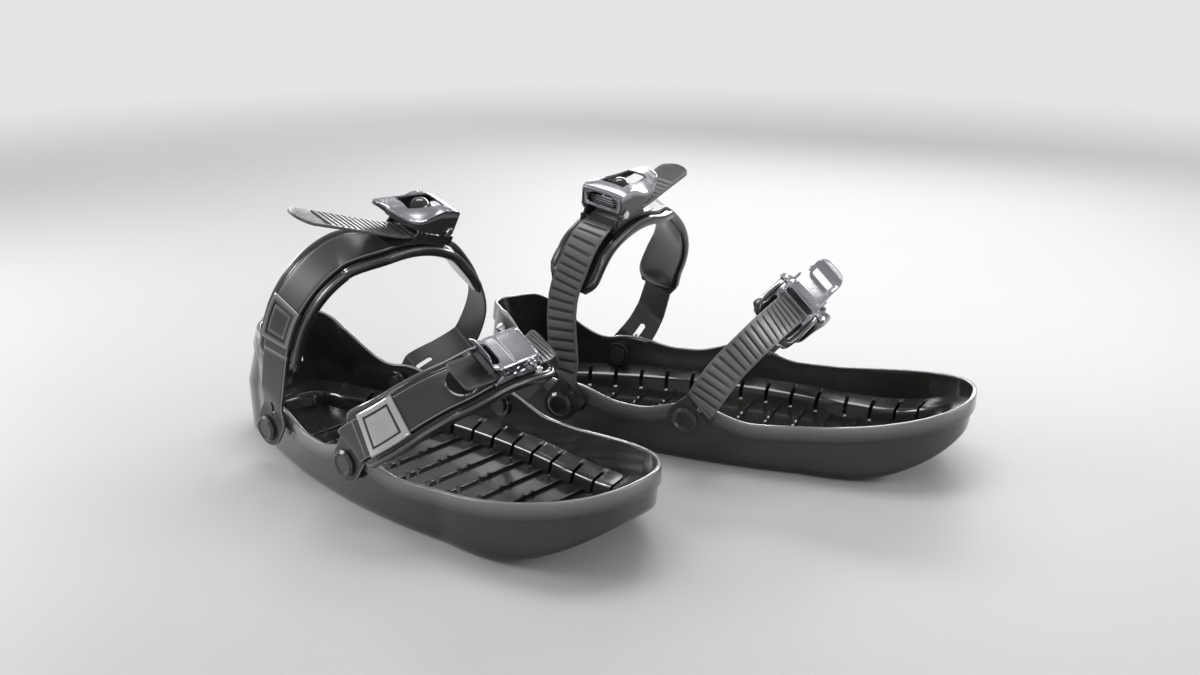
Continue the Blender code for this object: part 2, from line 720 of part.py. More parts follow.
def make_base_strap(loop, width):
    """Smooth moulded strap from the lateral rivet to the buckle."""
    half = 0.5 * width
    end = loop.buckle_at + CHASSIS_MEDIAL - 0.004
    rows = [(s, 0.0, w) for s, w in paddle_rows(0.0, 0.0, PADDLE_RADIUS)]
    for s in list(shared_stations(0.004, end - 0.001)) + [end]:
        blend = float(smooth((s - 0.012) / 0.03))
        rows.append((s, 0.0, PADDLE_RADIUS + (half - PADDLE_RADIUS) * blend))
    rings = []
    for s, low, w in rows:
        rings.append([loop.lay(s, a, b) for a, b in strap_section(w, low, STRAP_THICKNESS)])
    mesh = body_from_rings(rings)
    slot = slot_cutter(loop, ADJUST_SLOT_START + 0.5 * ADJUST_SLOT_LENGTH, ADJUST_SLOT_LENGTH, ADJUST_SLOT_WIDTH)
    return cut(mesh, [rivet_hole(loop, 0.0), slot, screw_hole(loop)])


def ladder_height(s, loop):
    """Height of the ladder over the line: low on its leg, high enough for the buckle."""
    top = STRAP_THICKNESS + GAP + CHASSIS_PLATE + GAP
    return top * float(smooth((loop.buckle_at + CHASSIS_MEDIAL + LADDER_CLIMB - s) / LADDER_CLIMB))


def make_ladder(loop):
    """Toothed strap from the medial rivet through the buckle, with its tail standing free."""
    loop.tail_from = loop.buckle_at - TAIL_LEAVES_AT
    half = 0.5 * LADDER_WIDTH
    end = loop.length
    start = loop.tail_from - loop.tail
    rows = []
    for angle in np.radians((20.0, 50.0, 90.0)):
        rows.append((start - 0.010 * math.cos(angle), half * math.sin(angle), LADDER_BODY))
    teeth_end = end - LADDER_FLAT
    count = int((teeth_end - start - 0.004) / TOOTH_PITCH)
    for tooth in range(count):
        s = teeth_end - (count - tooth) * TOOTH_PITCH
        crest = LADDER_BODY + TOOTH_HEIGHT
        flank = 0.0003
        rows.append((s, half, LADDER_BODY))
        rows.append((s + flank, half, crest))
        rows.append((s + TOOTH_PITCH - TOOTH_GROOVE, half, crest))
    rows.append((teeth_end, half, LADDER_BODY))
    rows.append((teeth_end + 0.0008, half, STRAP_THICKNESS))
    for s in np.linspace(teeth_end + 0.008, end - 0.008, 4):
        blend = float(smooth((s - teeth_end) / 0.02))
        rows.append((s, half + (PADDLE_RADIUS - half) * blend, STRAP_THICKNESS))
    for s, w in paddle_rows(0.0, end, PADDLE_RADIUS, first=False):
        rows.append((s, w, STRAP_THICKNESS))
    rings = []
    for s, w, thick in rows:
        low = ladder_height(s, loop)
        section = [(-w, low), (w, low), (w, low + thick), (-w, low + thick)]
        rings.append([loop.place(s, a, b) for a, b in section])
    mesh = body_from_rings(rings)
    middle = end - ADJUST_SLOT_START - 0.5 * ADJUST_SLOT_LENGTH
    slot = slot_cutter(loop, middle, ADJUST_SLOT_LENGTH, ADJUST_SLOT_WIDTH)
    hole = rivet_hole(loop, end)
    loop.tail_from = None
    return cut(mesh, [hole, slot])


def make_pad(loop, length):
    """Padded shell inside the base strap with a raised rim along both edges."""
    half = 0.5 * PAD_WIDTH
    start, end = loop.pad_at, loop.pad_at + length
    inner = half - PAD_RIM_WIDTH
    rings = []
    for s in with_shared(start, end, (start + 0.004, end - 0.004)):
        from_end = min(s - start, end - s)
        scale = 0.72 + 0.28 * math.sin(0.5 * math.pi * min(from_end / 0.012, 1.0))
        crest = PAD_RIM_CREST * float(smooth((from_end - 0.008) / 0.008))
        thin = (PAD_THICKNESS - 0.002) * (1.0 - float(smooth((from_end + 0.003) / 0.010)))
        section = [(-half, -PAD_THICKNESS + 0.0016), (-half + 0.003, -PAD_THICKNESS), (half - 0.003, -PAD_THICKNESS),
                   (half, -PAD_THICKNESS + 0.0016), (half, 0.0), (half - 0.0013, crest), (inner + 0.0013, crest),
                   (inner, 0.0), (-inner, 0.0), (-inner - 0.0013, crest), (0.0013 - half, crest), (-half, 0.0)]
        top = -2.0 * GAP * (2.0 - float(smooth(from_end / 0.012)))
        rings.append([loop.lay(s, a * scale, b + top + (thin if b < -0.001 else 0.0))
                      for a, b in reversed(section)])
    return body_from_rings(rings)


def make_keeper(loop, at, width):
    """Rectangular ring over the base strap, with a foot down each side of it."""
    half = 0.5 * width + GAP
    outer = half + 0.0014
    low = STRAP_THICKNESS + 2.0 * GAP
    high = low + KEEPER_THICKNESS
    rings = []
    first, last = at - 0.5 * KEEPER_LENGTH, at + 0.5 * KEEPER_LENGTH
    for s in with_shared(first, last, ()):
        section = [(-outer, GAP), (-half, GAP), (-half, low), (half, low), (half, GAP), (outer, GAP),
                   (outer, high - 0.0006), (outer - 0.0014, high), (0.0014 - outer, high), (-outer, high - 0.0006)]
        rings.append([loop.lay(s, a, b) for a, b in reversed(section)])
    window = []
    for s in with_shared(first + KEEPER_BAR, last - KEEPER_BAR, ()):
        inner = half - 0.0040
        section = [(-inner, low - 0.001), (inner, low - 0.001), (inner, high + 0.002), (-inner, high + 0.002)]
        window.append([loop.lay(s, a, b) for a, b in section])
    return cut(body_from_rings(rings), [body_from_rings(window)])


def prism(profile, w_low, w_high):
    """Outline in t and n given a width across the buckle."""
    rings = []
    for w in (w_low, w_high):
        rings.append([(t, w, n) for t, n in profile])
    return body_from_rings(rings)


def pin_prism(centre, radius, w_low, w_high, count=10):
    """Round bar across the buckle."""
    return prism(circle(radius, count, centre), w_low, w_high)


def arc(centre, radius, first, last, count):
    """Points on an arc between two angles in degrees."""
    angles = np.radians(np.linspace(first, last, count))
    return [(centre[0] + radius * math.cos(a), centre[1] + radius * math.sin(a)) for a in angles]


def screw_hole(loop):
    """Cutter for the screw that holds the chassis on the base strap."""
    body = chassis_screw(SCREW_RADIUS + GAP, -0.004, 0.010)
    body.transform(loop.buckle_matrix())
    return body


def chassis_screw(radius, low, high):
    """Round bar along n at the place of the mounting screw."""
    rings = []
    for n in (low, high):
        rings.append([(t, w, n) for t, w in circle(radius, 10, (SCREW_T, 0.0))])
    return body_from_rings(rings)


def pivot_place(kind):
    """Place in t and n of the lever's pivot: higher in the tall ankle buckle."""
    return PIVOT_T, ANKLE_PIVOT_N if kind == "ankle" else TOE_PIVOT_N


def pawl_place(kind):
    """Place in t and n of the drive pawl's stubs."""
    return PAWL_PIN_T, ANKLE_PAWL_PIN_N if kind == "ankle" else TOE_PAWL_PIN_N


def cheek_profile(kind):
    """Outline of a chassis cheek: curved foot, pivot ear and lower release ear."""
    foot = [in_buckle(t, STRAP_THICKNESS + GAP + 0.4 * CHASSIS_PLATE)
            for t in np.linspace(RELEASE_PIN_T - 0.0055, PIVOT_T + 0.0075, 6)]
    ears = arc(pivot_place(kind), PIVOT_EAR, -10.0, 190.0, 8)
    ears += [(PIVOT_T - 0.0045, CHEEK_DIP_N), (RELEASE_PIN_T + 0.0045, CHEEK_DIP_N)]
    ears += arc((RELEASE_PIN_T, RELEASE_PIN_N), RELEASE_EAR, 10.0, 190.0, 6)
    return foot + ears


def entry_bar():
    """Bar on two posts over the mouth where the toothed strap enters."""
    low, high = ENTRY_BAR_LOW, ENTRY_BAR_LOW + ENTRY_BAR_HEIGHT
    foot = in_buckle(ENTRY_BAR_T, STRAP_THICKNESS + GAP + 0.5 * CHASSIS_PLATE)[1]
    outer, inner = CHASSIS_HALF_WIDTH - 0.0004, 0.5 * LADDER_WIDTH + 2.0 * GAP
    outline = [(-outer, foot), (-inner, foot), (-inner, low), (inner, low), (inner, foot), (outer, foot),
               (outer, high - 0.0005), (outer - 0.0005, high), (0.0005 - outer, high), (-outer, high - 0.0005)]
    return body_from_rings([[(ENTRY_BAR_T + side * 0.0007, w, n) for w, n in outline] for side in (-1.0, 1.0)])


def make_chassis(kind, lateral):
    """Buckle base: curved plate with cheeks for the lever and the release, and an entry bar."""
    low = STRAP_THICKNESS + GAP
    rings = []
    for t in np.linspace(-lateral, CHASSIS_MEDIAL, 7):
        taper = CHASSIS_HALF_WIDTH - 0.0030 * float(smooth((-t - lateral + 0.005) / 0.006))
        ring = []
        for w, n in ((-taper, low), (taper, low), (taper, low + CHASSIS_PLATE), (-taper, low + CHASSIS_PLATE)):
            bent_t, bent_n = in_buckle(t, n)
            ring.append((bent_t, w, bent_n))
        rings.append(ring)
    profile = cheek_profile(kind)
    inner = CHASSIS_HALF_WIDTH - CHEEK_THICKNESS
    cheeks = merged([prism(profile, inner, CHASSIS_HALF_WIDTH), prism(profile, -CHASSIS_HALF_WIDTH, -inner)])
    mesh = unite(body_from_rings(rings), [cheeks, entry_bar()])
    bores = merged([pin_prism(pivot_place(kind), PIN_RADIUS + GAP, -0.03, 0.03),
                    pin_prism((RELEASE_PIN_T, RELEASE_PIN_N), RELEASE_PIN_RADIUS + GAP, -0.03, 0.03)])
    return cut(mesh, [bores, chassis_screw(SCREW_RADIUS + GAP, -0.004, 0.010)])


def make_screw():
    """Flush screw between the base strap and the chassis."""
    low = 0.0002
    high = STRAP_THICKNESS + GAP + CHASSIS_PLATE - 0.0001
    return chassis_screw(SCREW_RADIUS, low, high)


def lever_outer(kind):
    """Half width over the lever walls: outside the cheeks at the ankle, between them at the toe."""
    if kind == "ankle":
        return CHASSIS_HALF_WIDTH + GAP + LEVER_WALL
    return CHASSIS_HALF_WIDTH - CHEEK_THICKNESS - GAP


def make_lever_pin(kind):
    """Pivot bolt through the lever walls and the chassis cheeks: flat heads, or balls at the toe."""
    if kind == "toe":
        ball = [(BALL_RADIUS * math.sin(a), BALL_AT - BALL_RADIUS * math.cos(a))
                for a in np.radians((38.0, 65.0, 90.0, 115.0, 140.0, 162.0))]
        half = [(PIN_RADIUS, BALL_AT - BALL_RADIUS * math.cos(math.radians(37.0)))] + ball
        profile = [(radius, -y) for radius, y in reversed(half)] + half
        return lathe_y(profile, 8, pivot_place(kind))
    reach = lever_outer(kind) + GAP
    profile = [(PIN_HEAD_RADIUS * 0.8, -reach - PIN_HEAD_HEIGHT), (PIN_HEAD_RADIUS, -reach - 0.5 * PIN_HEAD_HEIGHT),
               (PIN_HEAD_RADIUS, -reach), (PIN_RADIUS, -reach), (PIN_RADIUS, reach), (PIN_HEAD_RADIUS, reach),
               (PIN_HEAD_RADIUS, reach + 0.5 * PIN_HEAD_HEIGHT), (PIN_HEAD_RADIUS * 0.8, reach + PIN_HEAD_HEIGHT)]
    return lathe_y(profile, 10, pivot_place(kind))


def make_release_pin():
    """Plain pin between the chassis cheeks for the release lever."""
    return pin_prism((RELEASE_PIN_T, RELEASE_PIN_N), RELEASE_PIN_RADIUS, -CHASSIS_HALF_WIDTH, CHASSIS_HALF_WIDTH, 12)


def lever_bores(kind):
    """Cutters for the pivot bolt and for the round stubs of the drive pawl."""
    return merged([pin_prism(pivot_place(kind), PIN_RADIUS + GAP, -0.03, 0.03),
                   pin_prism(pawl_place(kind), PAWL_PIN_RADIUS + GAP, -0.03, 0.03)])


def hood_ring(t, low, edge, crown, half):
    """Section of the ankle lever at one t: walls up to the edge line and a crowned top between them."""
    wall, plate = min(LEVER_WALL, 0.40 * half), min(LEVER_PLATE, 0.45 * (crown - low))
    shoulder = edge + 0.66 * (crown - edge)
    skin = [(-half, low), (-half, edge), (-0.74 * half, shoulder), (-0.34 * half, crown)]
    lining = [(wall - half, low), (wall - half, max(edge - 0.8 * plate, low + 0.0002)),
              (wall - 0.78 * half, max(shoulder - plate, low + 0.0003)), (-0.34 * half, crown - plate)]
    right = [(-w, n) for w, n in reversed(skin)]
    return [(t, w, n) for w, n in skin + right + [(-w, n) for w, n in lining] + lining[::-1]]


def hood_top_window():
    """Cutter for the window behind the front face: wide in front, narrower towards the tip."""
    (front, wide), (back, narrow), corner = (0.0085, 0.0100), (-0.0185, 0.0072), 0.0026
    half = [(front, wide - corner), (front - corner, wide), (back + corner, narrow), (back, narrow - corner)]
    outline = [(t, -w) for t, w in half] + half[::-1]
    low, high = ANKLE_FRONT_LOW + 0.0030, ANKLE_FRONT_HIGH + 0.010
    return body_from_rings([[(t, w, n) for t, w in outline] for n in (low, high)])


def make_ankle_lever():
    """Crowned hood over the cheeks: tall front face with an arched window, top window, thin tip."""
    outer = lever_outer("ankle")
    length = LEVER_FRONT_T - PIVOT_T + ANKLE_LEVER_LENGTH
    high = ANKLE_FRONT_HIGH
    shape = ((0.0, 0.0132, -0.0028, -0.0020, 1.0), (0.012, 0.0128, -0.0018, -0.0008, 1.0),
             (0.045, 0.0120, -0.0012, 0.0, 1.0), (0.172, 0.0098, -0.0014, 0.0009, 1.0),
             (0.290, 0.0097, -0.0032, 0.0006, 1.0),
             (0.420, 0.0104, -0.0078, -0.0002, 1.0), (0.565, 0.0120, -0.0118, -0.0014, 0.985),
             (0.730, 0.0142, -0.0112, -0.0030, 0.90), (0.875, 0.0168, -0.0088, -0.0044, 0.70),
             (0.965, 0.0192, -0.0070, -0.0052, 0.42), (1.0, 0.0202, -0.0064, -0.0056, 0.22))
    rings = [hood_ring(LEVER_FRONT_T - along * length, low, high + edge, high + crown, outer * width)
             for along, low, edge, crown, width in shape]
    ears = merged([pin_prism(pivot_place("ankle"), LEVER_EAR, outer - LEVER_WALL, outer, 14),
                   pin_prism(pivot_place("ankle"), LEVER_EAR, -outer, LEVER_WALL - outer, 14)])
    face = box((LEVER_FRONT_T - LEVER_PLATE, 0.0002 - outer, ANKLE_FRONT_LOW),
               (LEVER_FRONT_T, outer - 0.0002, high - 0.0032))
    sill = ANKLE_FRONT_LOW + 0.0026
    arched = [(-0.0112, sill), (0.0112, sill), (0.0112, sill + 0.0050)]
    arched += [(0.0112 * math.cos(a), sill + 0.0050 + 0.0042 * math.sin(a)) for a in np.radians((30.0, 60.0, 120.0, 150.0))]
    arched.append((-0.0112, sill + 0.0050))
    face_window = body_from_rings([[(t, w, n) for w, n in arched] for t in (0.0120, 0.0200)])
    mesh = unite(body_from_rings(rings), [ears, face])
    return cut(mesh, [lever_bores("ankle"), face_window, hood_top_window()])


def make_toe_lever():
    """Flat lever between the cheeks: light front, level top and a curled-up lip with a finger hole."""
    outer = lever_outer("toe")
    tip = PIVOT_T - TOE_LEVER_LENGTH
    top = TOE_FRONT_HIGH
    line = np.array([(0.0163, TOE_FRONT_LOW), (0.0167, 0.0138), (0.0162, 0.0156), (0.0148, top - 0.0004),
                     (0.0125, top), (-0.0100, top - 0.0006), (-0.0190, top - 0.0006), (tip + 0.0060, top + 0.0006),
                     (tip + 0.0020, top + 0.45 * TOE_LIP_RISE), (tip, top + TOE_LIP_RISE)])
    direction = unit_rows(np.gradient(line, axis=0))
    rings = []
    for i, ((t, n), (dt, dn)) in enumerate(zip(line, direction)):
        w, edge = outer - 0.0006 * (i > 7), 0.0006
        in_t, in_n = -dn * LEVER_PLATE, dt * LEVER_PLATE
        rings.append([(t + in_t, -w, n + in_n), (t + in_t, w, n + in_n), (t + 0.4 * in_t, w, n + 0.4 * in_n),
                      (t, w - edge, n), (t, edge - w, n), (t + 0.4 * in_t, -w, n + 0.4 * in_n)])
    wall = arc(pivot_place("toe"), TOE_LEVER_EAR, -150.0, 0.0, 7)
    wall += [(0.0158, TOE_FRONT_LOW + 0.0002), (0.0158, 0.0148), (0.0130, top - 0.0006), (-0.0080, top - 0.0010)]
    wall += [(-0.0050, TOE_PAWL_PIN_N - 0.0004), (-0.0020, TOE_PAWL_PIN_N - 0.0024)]
    walls = merged([prism(wall, outer - LEVER_WALL, outer - 0.0001), prism(wall, 0.0001 - outer, LEVER_WALL - outer)])
    hole = box((tip - 0.006, -0.0072, top + 0.0022), (tip + 0.0090, 0.0072, top + TOE_LIP_RISE - 0.0018))
    return cut(unite(body_from_rings(rings), [walls]), [lever_bores("toe"), hole])


def make_drive_pawl(kind):
    """Drive pawl: bar across the lever with a nose over the teeth and a round stub at each end."""
    crest = STRAP_THICKNESS + CHASSIS_PLATE + 4.0 * GAP + LADDER_BODY + TOOTH_HEIGHT
    centre = pawl_place(kind)
    profile = arc(centre, PAWL_BOSS, -20.0, 200.0, 8)
    profile += [(PAWL_PIN_T - 0.0030, crest + 0.0016), (PAWL_PIN_T - 0.0030, crest), (PAWL_PIN_T - 0.0012, crest)]
    mesh = prism(profile, -PAWL_HALF_WIDTH, PAWL_HALF_WIDTH)
    reach = lever_outer(kind) - 0.0002
    return unite(mesh, [pin_prism(centre, PAWL_PIN_RADIUS, -reach, reach, 10)])


def make_release_lever():
    """Release lever: a nose that holds the teeth on one side of its pin, a finger tab on the other."""
    crest = STRAP_THICKNESS + CHASSIS_PLATE + 4.0 * GAP + LADDER_BODY + TOOTH_HEIGHT
    centre = (RELEASE_PIN_T, RELEASE_PIN_N)
    tab = RELEASE_PIN_T - RELEASE_TAB
    profile = [(RELEASE_PIN_T + 0.0058, crest), (RELEASE_PIN_T + 0.0062, crest + 0.0012)]
    profile += arc(centre, 0.0026, 50.0, 120.0, 4)
    profile += [(tab + 0.004, RELEASE_PIN_N + 0.0040), (tab, RELEASE_PIN_N + 0.0038), (tab, RELEASE_PIN_N + 0.0022)]
    profile += [(RELEASE_PIN_T - 0.0040, RELEASE_PIN_N - 0.0004)]
    profile += arc(centre, 0.0024, 200.0, 280.0, 4)
    profile += [(RELEASE_PIN_T + 0.0044, crest)]
    mesh = prism(profile, -RELEASE_HALF_WIDTH, RELEASE_HALF_WIDTH)
    bore = pin_prism(centre, RELEASE_PIN_RADIUS + GAP, -0.03, 0.03, 12)
    return cut(mesh, [bore])


def make_spring():
    """Coil spring on the release pin, beside the release lever."""
    low = RELEASE_HALF_WIDTH + 0.0006
    high = CHASSIS_HALF_WIDTH - CHEEK_THICKNESS - 0.0006
    steps = SPRING_TURNS * 6
    rings = []
    for i in range(steps + 1):
        angle = 2.0 * math.pi * i / 6.0
        w = low + (high - low) * i / steps
        ring = []
        for a, b in circle(SPRING_WIRE_RADIUS, 3):
            radius = SPRING_COIL_RADIUS + a
            ring.append((RELEASE_PIN_T + radius * math.cos(angle), w + b, RELEASE_PIN_N + radius * math.sin(angle)))
        rings.append(ring)
    return body_from_rings(rings)


def material(name, color, roughness, metallic=0.0):
    """Plain surface of one sub-part."""
    item = bpy.data.materials.new(name)
    item.use_nodes = True
    shader = item.node_tree.nodes["Principled BSDF"]
    shader.inputs["Base Color"].default_value = (*color, 1.0)
    shader.inputs["Roughness"].default_value = roughness
    shader.inputs["Metallic"].default_value = metallic
    item.diffuse_color = (*color, 1.0)
    return item


SURFACES = {
    "tray": ((0.020, 0.020, 0.018), 0.28, 0.0),
    "rivet": ((0.030, 0.030, 0.030), 0.40, 0.0),
    "base_strap": ((0.035, 0.035, 0.035), 0.50, 0.0),
    "pad": ((0.018, 0.018, 0.018), 0.38, 0.0),
    "keeper": ((0.040, 0.040, 0.040), 0.35, 0.0),
    "ladder_strap": ((0.045, 0.045, 0.045), 0.42, 0.0),
    "buckle_base": ((0.050, 0.050, 0.055), 0.35, 0.6),
    "buckle_lever": ((0.140, 0.140, 0.145), 0.30, 0.9),
    "release_lever": ((0.060, 0.060, 0.060), 0.35, 0.0),
    "drive_pawl": ((0.300, 0.300, 0.310), 0.35, 1.0),
    "lever_pin": ((0.500, 0.500, 0.510), 0.25, 1.0),
    "release_pin": ((0.500, 0.500, 0.510), 0.30, 1.0),
    "release_spring": ((0.450, 0.450, 0.460), 0.30, 1.0),
    "buckle_screw": ((0.400, 0.400, 0.410), 0.30, 1.0),
}


def round_off(mesh):
    """Smooth shading that keeps the sharp edges sharp."""
    mesh.shade_smooth()
    mesh.set_sharp_from_angle(angle=math.radians(32.0))


def at_origin(mesh, matrix):
    """Move a mesh so that the given frame becomes its own frame."""
    mesh.transform(matrix.inverted())
    return mesh


def buckle_pieces(kind, loop):
    """Pieces of one buckle with the frames they turn in."""
    frame = loop.buckle_matrix()
    pivot_t, pivot_n = pivot_place(kind)
    pawl_t, pawl_n = pawl_place(kind)
    pivot = frame @ Matrix.Translation((pivot_t, 0.0, pivot_n))
    release = frame @ Matrix.Translation((RELEASE_PIN_T, 0.0, RELEASE_PIN_N))
    pawl = frame @ Matrix.Translation((pawl_t, 0.0, pawl_n))
    meshes = (
        ("buckle_base", make_chassis(kind, loop.chassis_lateral), frame),
        ("buckle_screw", make_screw(), frame),
        ("buckle_lever", make_ankle_lever() if kind == "ankle" else make_toe_lever(), pivot),
        ("lever_pin", make_lever_pin(kind), pivot),
        ("drive_pawl", make_drive_pawl(kind), pawl),
        ("release_lever", make_release_lever(), release),
        ("release_pin", make_release_pin(), release),
        ("release_spring", make_spring(), release),
    )
    pieces = []
    for name, mesh, matrix in meshes:
        mesh.transform(frame)
        pieces.append((name, at_origin(mesh, matrix), matrix))
    return pieces


def strap_pieces(kind, loop):
    """Pieces of one strap loop, all in the frame of its rivets."""
    width, pad_length, keeper_at = {
        "ankle": (ANKLE_STRAP_WIDTH, ANKLE_PAD_LENGTH, ANKLE_KEEPER_AT),
        "toe": (TOE_STRAP_WIDTH, TOE_PAD_LENGTH, TOE_KEEPER_AT),
    }[kind]
    still = Matrix.Identity(4)
    pieces = [
        ("base_strap", make_base_strap(loop, width), still),
        ("pad", make_pad(loop, pad_length), still),
        ("keeper", make_keeper(loop, keeper_at, width), still),
        ("ladder_strap", make_ladder(loop), still),
    ]
    return pieces + buckle_pieces(kind, loop)


def empty(name, matrix, parent=None):
    """Frame that carries other pieces."""
    item = bpy.data.objects.new(name, None)
    bpy.context.collection.objects.link(item)
    item.parent = parent
    item.matrix_basis = matrix
    return item


def piece(name, mesh, surface, matrix, parent):
    """Named sub-part on its own frame."""
    item = bpy.data.objects.new(name, mesh)
    bpy.context.collection.objects.link(item)
    item.parent = parent
    item.matrix_basis = matrix
    if not mesh.materials:
        mesh.materials.append(surface)
    return item


def build_ski(side, ski_matrix, tray_mesh, rivets, loops, surfaces):
    """One ski under its own frame, with each strap loop under a frame on its rivets."""
    root = empty(side + "_ski", ski_matrix)
    piece(side + "_tray", tray_mesh, surfaces["tray"], Matrix.Identity(4), root)
    for place, (rivet_x, rivet_z) in RIVETS.items():
        centre = Vector((rivet_x, 0.0, rivet_z))
        for name, mesh in rivets[place]:
            piece(f"{side}_{place}_{name}", mesh, surfaces["rivet"], Matrix.Translation(centre), root)
        lean, loop = loops[place]
        swing = Matrix.Translation(centre) @ Matrix.Rotation(lean, 4, 'Y')
        holder = empty(f"{side}_{place}_swing", swing, root)
        for name, mesh, matrix in strap_pieces(place, loop):
            round_off(mesh)
            piece(f"{side}_{place}_{name}", mesh, surfaces[name], matrix, holder)
    return root


def right_loops():
    """Lean and path of the two strap loops of the right ski."""
    ankle = Loop(ANKLE_RIVET_X, ANKLE_WIDEST_AT, RIGHT_ANKLE_LATERAL, RIGHT_ANKLE_MEDIAL, RIGHT_ANKLE_HEIGHT,
                 RIGHT_ANKLE_ROUNDNESS, RIGHT_ANKLE_DRIFT, RIGHT_ANKLE_TWIST, RIGHT_ANKLE_BUCKLE_AT,
                 ANKLE_CHASSIS_LATERAL, RIGHT_ANKLE_TAIL, RIGHT_ANKLE_PAD_AT)
    toe = Loop(TOE_RIVET_X, TOE_WIDEST_AT, RIGHT_TOE_LATERAL, RIGHT_TOE_MEDIAL, RIGHT_TOE_HEIGHT,
               RIGHT_TOE_ROUNDNESS, RIGHT_TOE_DRIFT, RIGHT_TOE_TWIST, RIGHT_TOE_BUCKLE_AT,
               TOE_CHASSIS_LATERAL, TOE_TAIL, RIGHT_TOE_PAD_AT)
    return {"ankle": (RIGHT_ANKLE_LEAN, ankle), "toe": (RIGHT_TOE_LEAN, toe)}


def left_loops():
    """Lean and path of the two strap loops of the left ski."""
    ankle = Loop(ANKLE_RIVET_X, ANKLE_WIDEST_AT, LEFT_ANKLE_LATERAL, LEFT_ANKLE_MEDIAL, LEFT_ANKLE_HEIGHT,
                 LEFT_ANKLE_ROUNDNESS, LEFT_ANKLE_DRIFT, LEFT_ANKLE_TWIST, LEFT_ANKLE_BUCKLE_AT,
                 ANKLE_CHASSIS_LATERAL, LEFT_ANKLE_TAIL, LEFT_ANKLE_PAD_AT)
    toe = Loop(TOE_RIVET_X, TOE_WIDEST_AT, LEFT_TOE_LATERAL, LEFT_TOE_MEDIAL, LEFT_TOE_HEIGHT,
               LEFT_TOE_ROUNDNESS, LEFT_TOE_DRIFT, LEFT_TOE_TWIST, LEFT_TOE_BUCKLE_AT,
               TOE_CHASSIS_LATERAL, TOE_TAIL, LEFT_TOE_PAD_AT)
    return {"ankle": (LEFT_ANKLE_LEAN, ankle), "toe": (LEFT_TOE_LEAN, toe)}


def centre_pair(roots):
    """Slide both skis so that the middle of the pair's footprint is the origin."""
    bpy.context.view_layer.update()
    corners = []
    for item in bpy.data.objects:
        if item.type == 'MESH':
            corners += [item.matrix_world @ vertex.co for vertex in item.data.vertices]
    points = np.array(corners)
    middle = 0.5 * (points.min(axis=0) + points.max(axis=0))
    for root in roots:
        root.location.x -= middle[0]
        root.location.y -= middle[1]


def build_pair():
    for item in list(bpy.data.objects):
        bpy.data.objects.remove(item)
    surfaces = {name: material(name, *values) for name, values in SURFACES.items()}
    tray = make_tray()
    rivets = {}
    for place, (rivet_x, rivet_z) in RIVETS.items():
        centre = Matrix.Translation((rivet_x, 0.0, rivet_z))
        medial = make_rivet(place)
        lateral = mirrored_y(medial.copy())
        rivets[place] = [("rivet_medial", at_origin(medial, centre)), ("rivet_lateral", at_origin(lateral, centre))]
    for mesh in [tray] + [m for pair in rivets.values() for _, m in pair]:
        round_off(mesh)
    right = Matrix.Rotation(-TOE_OUT_ANGLE, 4, 'Z')
    left = Matrix.Translation((LEFT_SKI_AHEAD, HEEL_SPACING, 0.0)) @ Matrix.Rotation(TOE_OUT_ANGLE, 4, 'Z')
    left = left @ Matrix.Scale(-1.0, 4, Vector((0.0, 1.0, 0.0)))
    roots = [build_ski("right", right, tray, rivets, right_loops(), surfaces)]
    roots.append(build_ski("left", left, tray, rivets, left_loops(), surfaces))
    centre_pair(roots)


build_pair()
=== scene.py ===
"""Looks of a pair of mini skis, built round the fixed frame of their sub-parts.

Each ski has its own frame: x from the back of the heel to the toe, y towards the wearer's other
foot and z up from the snow. A strap is laid out flat as a distance s along its loop, a distance w
across it and a height n over it, and is then bent round the loop. The shapes below follow the same
formulas as the sub-parts, on finer grids.
"""

import math

import bpy
import numpy as np
from mathutils import Matrix, Vector


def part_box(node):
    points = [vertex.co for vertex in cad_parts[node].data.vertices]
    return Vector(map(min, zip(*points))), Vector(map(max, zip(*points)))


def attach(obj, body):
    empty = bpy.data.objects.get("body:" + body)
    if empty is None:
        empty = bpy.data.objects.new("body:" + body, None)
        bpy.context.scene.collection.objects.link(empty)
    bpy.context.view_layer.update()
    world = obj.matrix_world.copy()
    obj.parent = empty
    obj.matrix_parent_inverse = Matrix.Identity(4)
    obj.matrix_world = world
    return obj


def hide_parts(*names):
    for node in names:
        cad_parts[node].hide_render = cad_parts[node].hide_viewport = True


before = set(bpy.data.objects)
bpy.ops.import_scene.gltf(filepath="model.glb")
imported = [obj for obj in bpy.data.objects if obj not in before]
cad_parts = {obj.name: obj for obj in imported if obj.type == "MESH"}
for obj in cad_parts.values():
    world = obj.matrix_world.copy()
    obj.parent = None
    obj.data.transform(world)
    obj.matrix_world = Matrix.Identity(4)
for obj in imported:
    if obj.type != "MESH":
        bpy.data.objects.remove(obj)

bl_info = {
    "name": "Mini ski looks",
    "version": (1, 0, 0),
    "blender": (4, 5, 0),
    "location": "3D View > Sidebar > Mini skis",
    "description": "Fine surfaces, finishes and a pale stage for a pair of mini skis",
    "category": "Object",
}

SIDES = ("right", "left")
PLACES = ("ankle", "toe")
GAP = 0.0003

